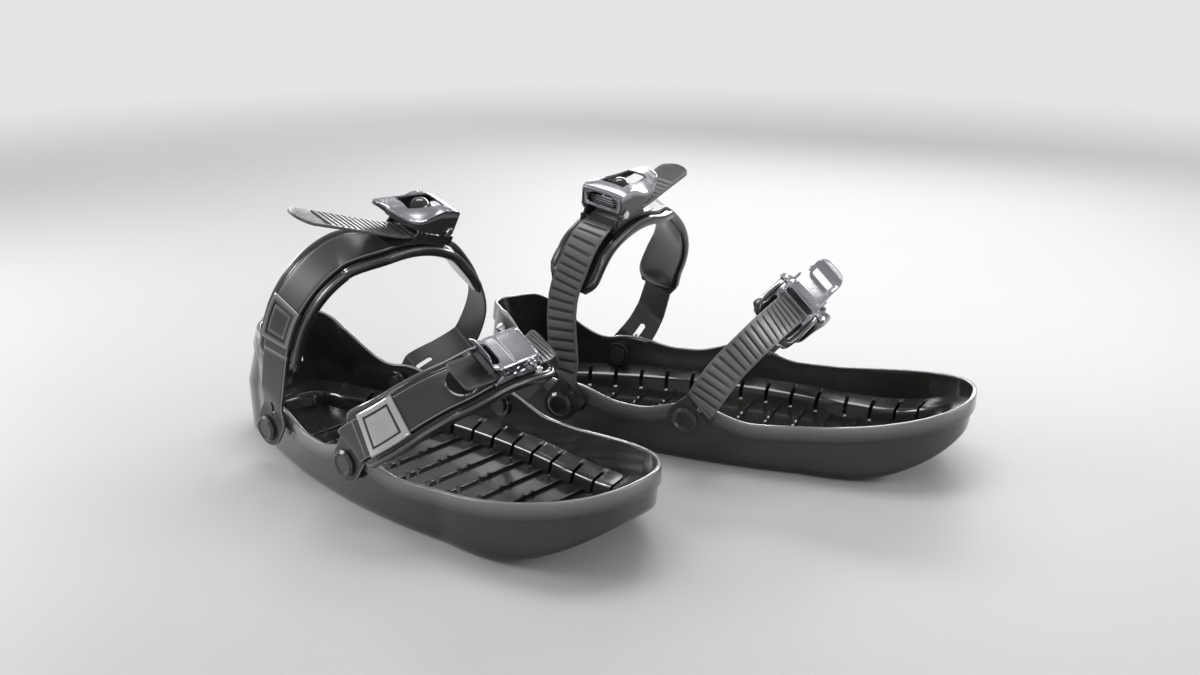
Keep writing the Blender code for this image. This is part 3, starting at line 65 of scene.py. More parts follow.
# Tray, as in the sub-parts
TOE_OUT_ANGLE = math.radians(10.04)
SKI_LENGTH, HEEL_HALF_WIDTH, TOE_HALF_WIDTH, SIDE_BULGE = 0.380, 0.0451, 0.0666, 0.0133
HEEL_CAP_LENGTH, TOE_CAP_LENGTH, HEEL_ROUNDNESS, TOE_ROUNDNESS = 0.0406, 0.1101, 2.17, 2.32
RIM_HEIGHT, RIM_TOE_RISE, RIM_TOE_RISE_START = 0.0362, 0.0195, 0.235
HEEL_CUP_RISE, HEEL_CUP_FULL_X, HEEL_CUP_END_X = 0.0450, 0.018, 0.082
HEEL_CUP_TAPER, HEEL_CUP_LEAN = 0.39, 0.043
ANKLE_HUMP, TOE_HUMP, HUMP_REACH = 0.0075, 0.0095, 0.044
TOE_LIFT, TOE_LIFT_START = 0.0281, 0.2938
WALL, WALL_DRAFT, RIM_BAND_DEPTH, RIM_BAND_STEP = 0.0032, 0.0016, 0.0125, 0.0018
HULL_INSET, BOTTOM_INSET, BILGE_HEIGHT, FLOOR_THICKNESS = 0.0030, 0.0068, 0.0066, 0.0038
LEDGE_HEIGHT, LEDGE_WIDTH, LEDGE_DROP, LEDGE_TOE = 0.0150, 0.0125, 0.0050, 0.0030
SLOT_PITCH, SLOT_WIDTH, SLOT_FIRST_X, SLOT_LAST_X, SLOT_FLOOR = 0.0215, 0.0030, 0.0640, 0.3500, 0.0018
RUNNER_WIDTH, RUNNER_DEPTH, RUNNER_SPACING, RUNNER_START_X = 0.0090, 0.0016, 0.0280, 0.120
WINDOW_WIDTH, WINDOW_BOTTOM, WINDOW_HEIGHT = 0.0400, 0.0360, 0.0220
RIVET_AT = {"ankle": (0.087, 0.0285), "toe": (0.188, 0.0345)}
BOSS_RADIUS, BOSS_STAND_OFF, LEG_SWEEP, PADDLE_RADIUS = 0.0098, 0.0007, 0.0140, 0.0135

# Straps and buckles, as in the sub-parts
LEG_STRAIGHT, BUCKLE_BLEND, CHASSIS_RADIUS, CHASSIS_MEDIAL = 0.0120, 0.0300, 0.0950, 0.0225
STRAP_THICKNESS, CHASSIS_PLATE, LADDER_WIDTH, LADDER_BODY = 0.0024, 0.0012, 0.0240, 0.0014
TOOTH_HEIGHT, TOOTH_PITCH, LADDER_FLAT, LADDER_CLIMB = 0.0010, 0.0056, 0.0360, 0.0560
TAIL_LEAVES_AT, TAIL_BEND_LENGTH, TAIL_BEND_RADIUS = 0.0100, 0.0240, 0.1350
PAD_WIDTH, PAD_THICKNESS = 0.0410, 0.0056
STRAP_WIDTH = {"ankle": 0.0250, "toe": 0.0260}
PAD_LENGTH = {"ankle": 0.2320, "toe": 0.1680}
KEEPER_AT = {"ankle": 0.0860, "toe": 0.0620}
KEEPER_LENGTH, KEEPER_THICKNESS = 0.0280, 0.0014
SLOT_START, SLOT_LENGTH, SLOT_HALF = 0.0130, 0.0160, 0.0022
PIVOT_T, PIVOT_N = 0.0120, 0.0125
LEVER_OUTER, LEVER_WALL, LEVER_FRONT_T, LEVER_TIP_T = 0.0169, 0.0016, 0.0168, -0.0460
LEVER_HIGH, LEVER_FRONT_LOW = 0.0290, 0.0140

# Finer forms that only the looks have
LATHE_TURNS, BUTTON_TURNS, DISC_TURNS = 48, 24, 64
TAIL_TIP = 0.0100
PAD_CORNER = 0.0120
PEG_AT, PEG_RADIUS = 0.0175, 0.0011
HOOD_WINDOW_FRONT, HOOD_WINDOW_BACK, HOOD_WINDOW_CORNER = (0.0060, 0.0124), (-0.0285, 0.0096), 0.0026
TOE_WINDOW_FRONT, TOE_WINDOW_BACK, TOE_WINDOW_HALF, TOE_WINDOW_CORNER = -0.0150, -0.0262, 0.0088, 0.0040
TOE_LEVER_PLATE = 0.0012
DISC_BEFORE_BUCKLE, DISC_RADIUS = 0.0335, 0.0118
FINE_GRAIN = 900.0

# Per loop: widest_at, lateral, medial, height, roundness, lean, drift,
# twist, buckle_at, base reach, tail, pad_at
LOOPS = {
    ("right", "ankle"): (0.0370, 0.0702, 0.1050, 0.1500, 2.00, 33.8, (-0.0306, -0.0226, 0.0002),
                         (-0.072, -0.290, 0.080), 0.2089, 0.0340, 0.0960, 0.0540),
    ("left", "ankle"): (0.0370, 0.0799, 0.0842, 0.1313, 3.00, 39.5, (-0.0269, -0.0600, -0.0548),
                        (0.418, -0.622, -0.283), 0.2289, 0.0340, 0.0720, 0.0620),
    ("right", "toe"): (0.0300, 0.0820, 0.0820, 0.0970, 2.20, 33.0, (0.0205, 0.0245, 0.0100),
                       (0.0, 0.0, 0.0), 0.1520, 0.0210, 0.0230, 0.0300),
    ("left", "toe"): (0.0300, 0.0790, 0.0929, 0.0955, 2.35, 50.9, (-0.0066, -0.0201, -0.0181),
                      (-0.092, -0.105, 0.154), 0.1560, 0.0210, 0.0230, 0.0380),
}


def smooth(value):
    """Ease from 0 to 1 with level ends."""
    t = np.clip(value, 0.0, 1.0)
    return t * t * (3.0 - 2.0 * t)


def bell(distance, reach):
    """Rounded hump: 1 in the middle, 0 at the reach and beyond."""
    return np.cos(0.5 * math.pi * np.clip(distance / reach, -1.0, 1.0)) ** 2


def unit_rows(rows):
    """Rows of vectors brought to length 1."""
    return rows / np.linalg.norm(rows, axis=-1, keepdims=True)


def flowing(x, xs, ys):
    """Smooth curve through a table: cubic pieces whose slopes are the table's own gradients."""
    xs, ys = np.asarray(xs, float), np.asarray(ys, float)
    slope = np.gradient(ys, xs)
    i = np.clip(np.searchsorted(xs, x, side="right") - 1, 0, len(xs) - 2)
    h = xs[i + 1] - xs[i]
    t = np.clip((x - xs[i]) / h, 0.0, 1.0)
    return ((2 * t ** 3 - 3 * t ** 2 + 1) * ys[i] + (t ** 3 - 2 * t ** 2 + t) * h * slope[i]
            + (3 * t ** 2 - 2 * t ** 3) * ys[i + 1] + (t ** 3 - t ** 2) * h * slope[i + 1])


def half_width(x):
    """Half the width of the rim outline at a distance from the heel."""
    side_length = SKI_LENGTH - TOE_CAP_LENGTH - HEEL_CAP_LENGTH
    u = np.clip((x - HEEL_CAP_LENGTH) / side_length, 0.0, 1.0)
    side = HEEL_HALF_WIDTH + (TOE_HALF_WIDTH - HEEL_HALF_WIDTH) * u + 4.0 * SIDE_BULGE * u * (1.0 - u)
    to_heel = np.clip(1.0 - x / HEEL_CAP_LENGTH, 0.0, 1.0)
    to_toe = np.clip(1.0 - (SKI_LENGTH - x) / TOE_CAP_LENGTH, 0.0, 1.0)
    heel = (1.0 - to_heel ** HEEL_ROUNDNESS) ** (1.0 / HEEL_ROUNDNESS)
    return side * heel * (1.0 - to_toe ** TOE_ROUNDNESS) ** (1.0 / TOE_ROUNDNESS)


def rim_height(x):
    """Height of the rim: heel cup, two humps at the rivets and the rising toe."""
    cup = HEEL_CUP_RISE * (1.0 - smooth((x - HEEL_CUP_FULL_X) / (HEEL_CUP_END_X - HEEL_CUP_FULL_X)))
    humps = ANKLE_HUMP * bell(x - RIVET_AT["ankle"][0] - 0.006, HUMP_REACH)
    humps = humps + TOE_HUMP * bell(x - RIVET_AT["toe"][0] - 0.004, HUMP_REACH)
    rise = np.clip((x - RIM_TOE_RISE_START) / (SKI_LENGTH - RIM_TOE_RISE_START), 0.0, 1.0)
    return RIM_HEIGHT + cup + humps + RIM_TOE_RISE * rise ** 1.6


def bottom_height(x):
    """Height of the underside: flat, then curving up to the toe."""
    return TOE_LIFT * np.clip((x - TOE_LIFT_START) / (SKI_LENGTH - TOE_LIFT_START), 0.0, 1.0) ** 2


def strap_seat(rivet_x):
    """Distance from the middle of the ski to the inner face of a strap leg at its rivet."""
    covered = np.linspace(rivet_x - PADDLE_RADIUS, rivet_x + PADDLE_RADIUS + LEG_SWEEP, 30)
    return float(np.max(half_width(covered))) + BOSS_STAND_OFF


def shell(outer, inner, hole=None, wrap=False):
    """Closed skin between two grids of points. Cells of the hole stay open and get walls round them."""
    rows, columns = outer.shape[:2]
    index = np.arange(rows * columns).reshape(rows, columns)
    if wrap:
        index = np.concatenate([index, index[:, :1]], axis=1)
    solid = np.ones((index.shape[0] - 1, index.shape[1] - 1), bool)
    if hole is not None:
        solid &= ~hole
    a, b, c, d = index[:-1, :-1], index[:-1, 1:], index[1:, 1:], index[1:, :-1]
    count = rows * columns
    quads = np.stack([a, b, c, d], -1)[solid]
    faces = [quads, quads[:, ::-1] + count]
    around = np.pad(solid, 1)
    if wrap:
        around[:, 0], around[:, -1] = around[:, -2], around[:, 1]
    middle = around[1:-1, 1:-1]
    for border, first, second in ((middle & ~around[:-2, 1:-1], b, a), (middle & ~around[2:, 1:-1], d, c),
                                  (middle & ~around[1:-1, :-2], a, d), (middle & ~around[1:-1, 2:], c, b)):
        faces.append(np.stack([first, second, second + count, first + count], -1)[border])
    return np.concatenate([outer.reshape(-1, 3), inner.reshape(-1, 3)]), np.concatenate(faces)


def tube(rings):
    """Skin through closed rings of points."""
    index = np.arange(rings.shape[0] * rings.shape[1]).reshape(rings.shape[:2])
    after = np.roll(index, -1, axis=1)
    quads = np.stack([index[:-1], after[:-1], after[1:], index[1:]], -1)
    return rings.reshape(-1, 3), quads.reshape(-1, 4)


def outside(shade, inner=0.0):
    """Shades of a skin's outer grid, with one value on the inner grid."""
    return np.concatenate([shade.ravel(), np.full(shade.size, inner)])


def lathe(profile, centre):
    """Body turned about a line along y: the profile lists radius and y and closes on the line."""
    profile = np.array([(0.0, profile[0][1])] + list(profile) + [(0.0, profile[-1][1])])
    angle = 2.0 * math.pi * np.arange(LATHE_TURNS) / LATHE_TURNS
    radius, y = profile[:, :1], profile[:, 1:]
    return tube(np.stack([centre[0] + radius * np.cos(angle), y + 0.0 * angle,
                          centre[1] + radius * np.sin(angle)], -1))


def ski_matrix(side):
    """Frame of one ski, found from the boxes of its two ankle rivets."""
    rivets = [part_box(f"{side}_ankle_rivet_{where}") for where in ("medial", "lateral")]
    low, high = np.array(rivets).transpose(1, 0, 2)
    middle = 0.5 * (low.min(axis=0) + high.max(axis=0))
    turn = Matrix.Rotation(-TOE_OUT_ANGLE if side == "right" else TOE_OUT_ANGLE, 4, 'Z')
    if side == "left":
        turn = turn @ Matrix.Scale(-1.0, 4, Vector((0.0, 1.0, 0.0)))
    rivet_x, rivet_z = RIVET_AT["ankle"]
    return Matrix.Translation(Vector(middle) - turn @ Vector((rivet_x, 0.0, rivet_z))) @ turn


def strap_matrix(side, place):
    """Frame of a strap loop: on the line of its rivets, leaning forward."""
    rivet_x, rivet_z = RIVET_AT[place]
    lean = Matrix.Rotation(math.radians(LOOPS[side, place][5]), 4, 'Y')
    return ski_matrix(side) @ Matrix.Translation((rivet_x, 0.0, rivet_z)) @ lean


def mapped(matrix, points):
    """Points moved by a matrix, as one array operation."""
    matrix = np.array(matrix)
    return points @ matrix[:3, :3].T + matrix[:3, 3]


def make_piece(name, parts, matrix, material, body, slot, sharp=38.0, stands_for=(), shades=None):
    """One finished object at the origin from several skins, each turned so that its faces look out.

    Shades hold one array per skin for the shader: 1 on edges and crests, where a highlight is painted, 0 in
    the plain parts.
    """
    vertices, faces, shift = [], [], 0
    for points, quads in parts:
        points = mapped(matrix, points)
        corner = points[quads] - points.mean(axis=0)
        volume = np.sum(np.cross(corner[:, 0], corner[:, 1]) * corner[:, 2])
        volume += np.sum(np.cross(corner[:, 0], corner[:, 2]) * corner[:, 3])
        vertices.append(points)
        faces.append((quads if volume > 0.0 else quads[:, ::-1]) + shift)
        shift += len(points)
    mesh = bpy.data.meshes.new(name)
    mesh.from_pydata(np.concatenate(vertices), [], np.concatenate(faces))
    if shades is not None:
        layer = mesh.attributes.new("shade", 'FLOAT', 'POINT')
        layer.data.foreach_set("value", np.concatenate(shades))
    mesh.validate()
    mesh.shade_smooth()
    mesh.set_sharp_from_angle(angle=math.radians(sharp))
    mesh.materials.append(material)
    item = bpy.data.objects.new(name, mesh)
    bpy.context.collection.objects.link(item)
    if len(mesh.polygons) < 1:
        raise RuntimeError(f"{name} has no faces")
    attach(item, body)
    if stands_for:
        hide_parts(*stands_for)
    return item


def dress(side, place, name, parts, material, body, slot, node=None, buckle=None, **looks):
    """Piece in the frame of its strap or, given the loop as buckle, of its buckle.

    With a node named, the piece takes the place of that sub-part.
    """
    matrix = strap_matrix(side, place)
    if buckle is not None:
        matrix = matrix @ buckle.buckle_matrix()
    stands_for = () if node is None else (f"{side}_{place}_{node}",)
    return make_piece(f"{side}_{place}_{name}", parts, matrix, material, f"{side}_{place}_{body}", slot,
                      stands_for=stands_for, **looks)


class Loop:
    """Path of a strap loop in the frame of its rivets.

    Its height is the quarter arcs of a superellipse on two straight legs, and it drifts forward and
    turns about itself by bells spaced along its length. Under the buckle it lies on an arc.
    """

    def __init__(self, side, place):
        (widest_at, lateral, medial, height, roundness, _, drift, twist, self.buckle_at, base_reach,
         self.tail, self.pad_at) = LOOPS[side, place]
        below = 0.030
        seat = strap_seat(RIVET_AT[place][0])
        leg = np.linspace(-below, widest_at, 140, endpoint=False)
        a = np.linspace(0.0, 0.5 * math.pi, 200)
        halves = []
        for widest in (lateral, medial):
            leg_y = seat + (widest - seat) * smooth((leg - LEG_STRAIGHT) / (widest_at - LEG_STRAIGHT))
            arch_y = widest * np.cos(a) ** (2.0 / roundness)
            arch_y[-1] = 0.0
            halves.append(np.concatenate([leg_y, arch_y]))
        side_h = np.concatenate([leg, widest_at + (height - widest_at) * np.sin(a) ** (2.0 / roundness)])
        y = np.concatenate([-halves[0], halves[1][-2::-1]])
        h = np.concatenate([side_h, side_h[-2::-1]])
        run = np.concatenate([[0.0], np.cumsum(np.hypot(np.diff(y), np.diff(h)))]) - below
        self.length = float(run[-1]) - below
        self.s = np.arange(-below + 0.002, self.length + below - 0.002, 0.001)
        shares = [bell(self.s / self.length - middle, reach)
                  for middle, reach in ((0.27, 0.24), (0.50, 0.26), (0.73, 0.24))]
        forward = sum(amount * share for amount, share in zip(drift, shares))
        turn = sum(amount * share for amount, share in zip(twist, shares))[:, None]
        points = np.stack([forward, np.interp(self.s, run, y), np.interp(self.s, run, h)], axis=1)
        along = unit_rows(np.gradient(points, self.s, axis=0))
        across = unit_rows(np.array([1.0, 0.0, 0.0]) - along[:, :1] * along)
        outward = np.cross(across, along)
        outward = outward * np.cos(turn) + across * np.sin(turn)
        middle, ahead, out = (np.array([np.interp(self.buckle_at, self.s, column) for column in rows.T])
                              for rows in (points, along, outward))
        ahead = unit_rows(ahead)
        out = unit_rows(out - ahead * float(out @ ahead))
        away = self.s - self.buckle_at
        reach = np.where(away < 0.0, base_reach, CHASSIS_MEDIAL)
        share = (1.0 - smooth((np.abs(away) - reach) / BUCKLE_BLEND))[:, None]
        angle = (away / CHASSIS_RADIUS)[:, None]
        round_points = middle + CHASSIS_RADIUS * (ahead * np.sin(angle) - out * (1.0 - np.cos(angle)))
        self.points = points * (1.0 - share) + round_points * share
        self.along = unit_rows(np.gradient(self.points, self.s, axis=0))
        outward = outward * (1.0 - share) + (out * np.cos(angle) + ahead * np.sin(angle)) * share
        self.outward = unit_rows(outward - self.along * np.sum(outward * self.along, axis=1)[:, None])
        self.across = np.cross(self.along, self.outward)

    def at(self, s, tail_from=None):
        """Point, direction along, across and outward at distances; a tail bends up and runs on."""
        clipped = s if tail_from is None else np.maximum(s, tail_from)
        point, along, across, outward = (
            np.stack([np.interp(clipped, self.s, column) for column in rows.T], -1)
            for rows in (self.points, self.along, self.across, self.outward))
        away = clipped - s
        bent = np.minimum(away, TAIL_BEND_LENGTH)
        turn = (bent / TAIL_BEND_RADIUS)[..., None]
        point = point - along * TAIL_BEND_RADIUS * np.sin(turn)
        point = point + outward * TAIL_BEND_RADIUS * (1.0 - np.cos(turn))
        ahead = along * np.cos(turn) - outward * np.sin(turn)
        return (point - ahead * (away - bent)[..., None], ahead, across,
                outward * np.cos(turn) + along * np.sin(turn))

    def lay(self, s, w, n, tail_from=None):
        """Points of a flat strip bent round the loop; s, w and n are arrays of one shape."""
        point, _, across, outward = self.at(s, tail_from)
        return point + across * w[..., None] + outward * n[..., None]

    def buckle_matrix(self):
        """Frame of the buckle: t along the path, w across it to the rear and n out of it."""
        point, along, across, outward = self.at(np.array(self.buckle_at))
        matrix = Matrix.Identity(4)
        for column, direction in enumerate((along, -across, outward)):
            matrix.col[column] = Vector((*direction, 0.0))
        matrix.col[3] = Vector((*point, 1.0))
        return matrix


class Field:
    """Socket of a shader tree that can be reckoned with like a number."""

    def __init__(self, tree, socket):
        self.tree, self.socket = tree, socket

    def reckon(self, operation, first, second=0.0):
        """Math node on two values, each a field or a number."""
        node = self.tree.nodes.new("ShaderNodeMath")
        node.operation = operation
        for place, value in zip(node.inputs, (first, second)):
            if isinstance(value, Field):
                self.tree.links.new(value.socket, place)
            else:
                place.default_value = value
        return Field(self.tree, node.outputs[0])

    def __add__(self, other):
        return self.reckon('ADD', self, other)

    def __sub__(self, other):
        return self.reckon('SUBTRACT', self, other)

    def __rsub__(self, other):
        return self.reckon('SUBTRACT', other, self)

    def __mul__(self, other):
        return self.reckon('MULTIPLY', self, other)

    __radd__ = __add__
    __rmul__ = __mul__


class Finish:
    """Material in the making: a shader tree, its main shader and the coordinates of the object."""

    def __init__(self, name):
        self.material = bpy.data.materials.new(name)
        self.material.use_nodes = True
        self.tree = self.material.node_tree
        self.shader = self.tree.nodes["Principled BSDF"]
        self.place = self.node("ShaderNodeTexCoord", {}, "Object")

    def node(self, kind, inputs, output, **settings):
        """Any other node, with its inputs set or linked by name, as a field."""
        node = self.tree.nodes.new(kind)
        for key, value in settings.items():
            setattr(node, key, value)
        for key, value in inputs.items():
            if isinstance(value, Field):
                self.tree.links.new(value.socket, node.inputs[key])
            else:
                node.inputs[key].default_value = value
        return Field(self.tree, node.outputs[output])

    def noise(self, scale, detail=3.0):
        """Cloudy field from 0 to 1."""
        inputs = {"Vector": self.place, "Scale": scale, "Detail": detail}
        return self.node("ShaderNodeTexNoise", inputs, "Fac")

    def brushed(self, scale, stretch):
        """Noise drawn out along one direction, for brushed metal."""
        drawn = self.node("ShaderNodeMapping", {"Vector": self.place, "Scale": stretch}, "Vector")
        return self.node("ShaderNodeTexNoise", {"Vector": drawn, "Scale": scale, "Detail": 4.0}, "Fac")

    def blend(self, factor, first, second):
        """Colour between two colours."""
        node = self.tree.nodes.new("ShaderNodeMix")
        node.data_type = 'RGBA'
        self.tree.links.new(factor.socket, node.inputs["Factor"])
        for key, colour in ((6, first), (7, second)):
            node.inputs[key].default_value = (*colour, 1.0)
        return Field(self.tree, node.outputs[2])

    def put(self, key, value):
        """Feed a shader input with a field or a number."""
        if isinstance(value, Field):
            self.tree.links.new(value.socket, self.shader.inputs[key])
        else:
            self.shader.inputs[key].default_value = value

    def bump(self, height, distance):
        """Relief of the surface from a field."""
        relief = {"Height": height, "Distance": distance, "Strength": 1.0}
        self.put("Normal", self.node("ShaderNodeBump", relief, "Normal"))


def two_tone_with_painted_light(name, plain, bright, gloss, metallic=0.0, coat=0.0, grain=0.00001):
    """Finish that goes from a plain to a bright tone with the shade stored on the surface; on most pieces
    the bright tone is a painted highlight and the plain tone painted shade.
    """
    finish = Finish(name)
    shade = finish.node("ShaderNodeAttribute", {}, "Fac", attribute_name="shade")
    clouds = finish.noise(25.0)
    finish.put("Base Color", finish.blend(shade * (0.9 + clouds * 0.1) + clouds * 0.04, plain, bright))
    finish.put("Roughness", gloss[0] + shade * (gloss[1] - gloss[0]) + clouds * 0.05)
    if metallic:
        finish.put("Metallic", shade * metallic)
    finish.put("Coat Weight", coat)
    finish.put("Coat Roughness", 0.10)
    finish.bump(finish.noise(FINE_GRAIN, 2.0), grain)
    return finish.material


def plastic(name, dark, light, roughness, grain, coat=0.0):
    """Moulded plastic: two close shades in clouds, uneven gloss and a fine moulded grain."""
    finish = Finish(name)
    clouds = finish.noise(22.0)
    fine = finish.noise(FINE_GRAIN, 2.0)
    finish.put("Base Color", finish.blend(clouds, dark, light))
    finish.put("Roughness", roughness - 0.04 + clouds * 0.08 + fine * 0.03)
    finish.put("Coat Weight", coat)
    finish.put("Coat Roughness", 0.12)
    finish.put("Specular IOR Level", 0.5)
    finish.bump(fine, grain)
    return finish.material


def metal(name, dark, light, roughness, stretch, metallic=1.0):
    """Polished or brushed metal: faint streaks in colour and gloss."""
    finish = Finish(name)
    streaks = finish.brushed(160.0, stretch)
    clouds = finish.noise(60.0)
    finish.put("Base Color", finish.blend(clouds, dark, light))
    finish.put("Metallic", metallic)
    finish.put("Roughness", roughness - 0.02 + streaks * 0.05)
    return finish.material


def floor_finish():
    """Pale matt ground with a very faint mottle that fades into the backdrop far out."""
    finish = Finish("stage_floor")
    finish.put("Base Color", finish.blend(finish.noise(3.0), (0.44, 0.44, 0.44), (0.46, 0.46, 0.46)))
    finish.put("Roughness", 0.55)
    away = finish.node("ShaderNodeVectorMath", {0: finish.place}, "Value", operation='LENGTH')
    fade = finish.node("ShaderNodeMapRange", {"Value": away, "From Min": 0.75, "From Max": 2.0}, "Result",
                       interpolation_type='SMOOTHSTEP')
    clear = finish.node("ShaderNodeBsdfTransparent", {}, "BSDF")
    solid = Field(finish.tree, finish.shader.outputs[0])
    both = finish.node("ShaderNodeMixShader", {0: fade, 1: solid, 2: clear}, "Shader")
    finish.tree.links.new(both.socket, finish.tree.nodes["Material Output"].inputs["Surface"])
    return finish.material


def make_finishes():
    """Every finish of the pair by name."""
    along = (0.15, 1.0, 1.0)
    # Two-tone finishes: the bright tone paints highlights on rims, edges, crests and tooth tops, and the
    # plain tone paints shade on walls and in grooves; the toe keeper plate and the toe lever wear the bright
    # tone as their own metal colour.
    return {
        "tray": two_tone_with_painted_light("tray", (0.014, 0.0135, 0.011), (0.16, 0.16, 0.155), (0.20, 0.22), coat=0.5),
        "rivet": plastic("rivet", (0.020, 0.020, 0.020), (0.032, 0.032, 0.032), 0.30, 0.00001, coat=0.3),
        "base_strap": two_tone_with_painted_light("base_strap", (0.026, 0.026, 0.028), (0.26, 0.26, 0.27), (0.36, 0.24)),
        "pad": two_tone_with_painted_light("pad", (0.010, 0.010, 0.010), (0.085, 0.085, 0.086), (0.24, 0.16), coat=0.4),
        "keeper": two_tone_with_painted_light("keeper", (0.018, 0.018, 0.019), (0.30, 0.30, 0.31), (0.24, 0.20), coat=0.4),
        "plate": two_tone_with_painted_light("keeper_plate", (0.010, 0.010, 0.010), (0.60, 0.60, 0.60), (0.40, 0.26),
                          metallic=0.85),
        "ladder_strap": two_tone_with_painted_light("ladder_strap", (0.012, 0.012, 0.012), (0.15, 0.15, 0.152), (0.40, 0.26)),
        "buckle_base": metal("buckle_base", (0.030, 0.030, 0.032), (0.055, 0.055, 0.060), 0.26, along, 0.6),
        "toe_base": metal("toe_buckle_base", (0.50, 0.50, 0.53), (0.62, 0.62, 0.66), 0.16, along),
        "buckle_lever": two_tone_with_painted_light("buckle_lever", (0.014, 0.014, 0.015), (0.42, 0.425, 0.45), (0.22, 0.24),
                                 metallic=1.0, coat=0.15),
        "release_lever": plastic("release_lever", (0.012, 0.012, 0.013), (0.020, 0.020, 0.022), 0.18,
                                 0.00001, 0.5),
        "chrome": metal("chrome", (0.66, 0.66, 0.68), (0.76, 0.76, 0.78), 0.12, along),
        "steel": metal("steel", (0.42, 0.42, 0.43), (0.54, 0.54, 0.55), 0.26, along),
    }


def tray_columns():
    """Stations from heel to toe, close in the round ends and at the edges of the ledge slots."""
    a = np.linspace(0.0, 0.5 * math.pi, 46)
    heel = HEEL_CAP_LENGTH * (1.0 - np.cos(a) ** (2.0 / HEEL_ROUNDNESS))
    toe = SKI_LENGTH - TOE_CAP_LENGTH * (1.0 - np.cos(a) ** (2.0 / TOE_ROUNDNESS))
    middle = np.linspace(HEEL_CAP_LENGTH, SKI_LENGTH - TOE_CAP_LENGTH, 70)
    slots = np.arange(SLOT_FIRST_X, SLOT_LAST_X, SLOT_PITCH)
    edges = (slots[:, None] + np.array([-0.00165, -0.0015, 0.0015, 0.00165])).ravel()
    fine = np.linspace(0.0, HEEL_CAP_LENGTH, 4001)
    window = np.interp(0.5 * WINDOW_WIDTH + 0.0022, half_width(fine), fine)
    x = np.unique(np.round(np.concatenate([heel, middle, toe, edges, [window]]), 7))
    keep = np.concatenate([[True], np.diff(x) > 0.00004])
    keep |= np.isclose(x, window, atol=1e-6)
    return x[keep], slots, window


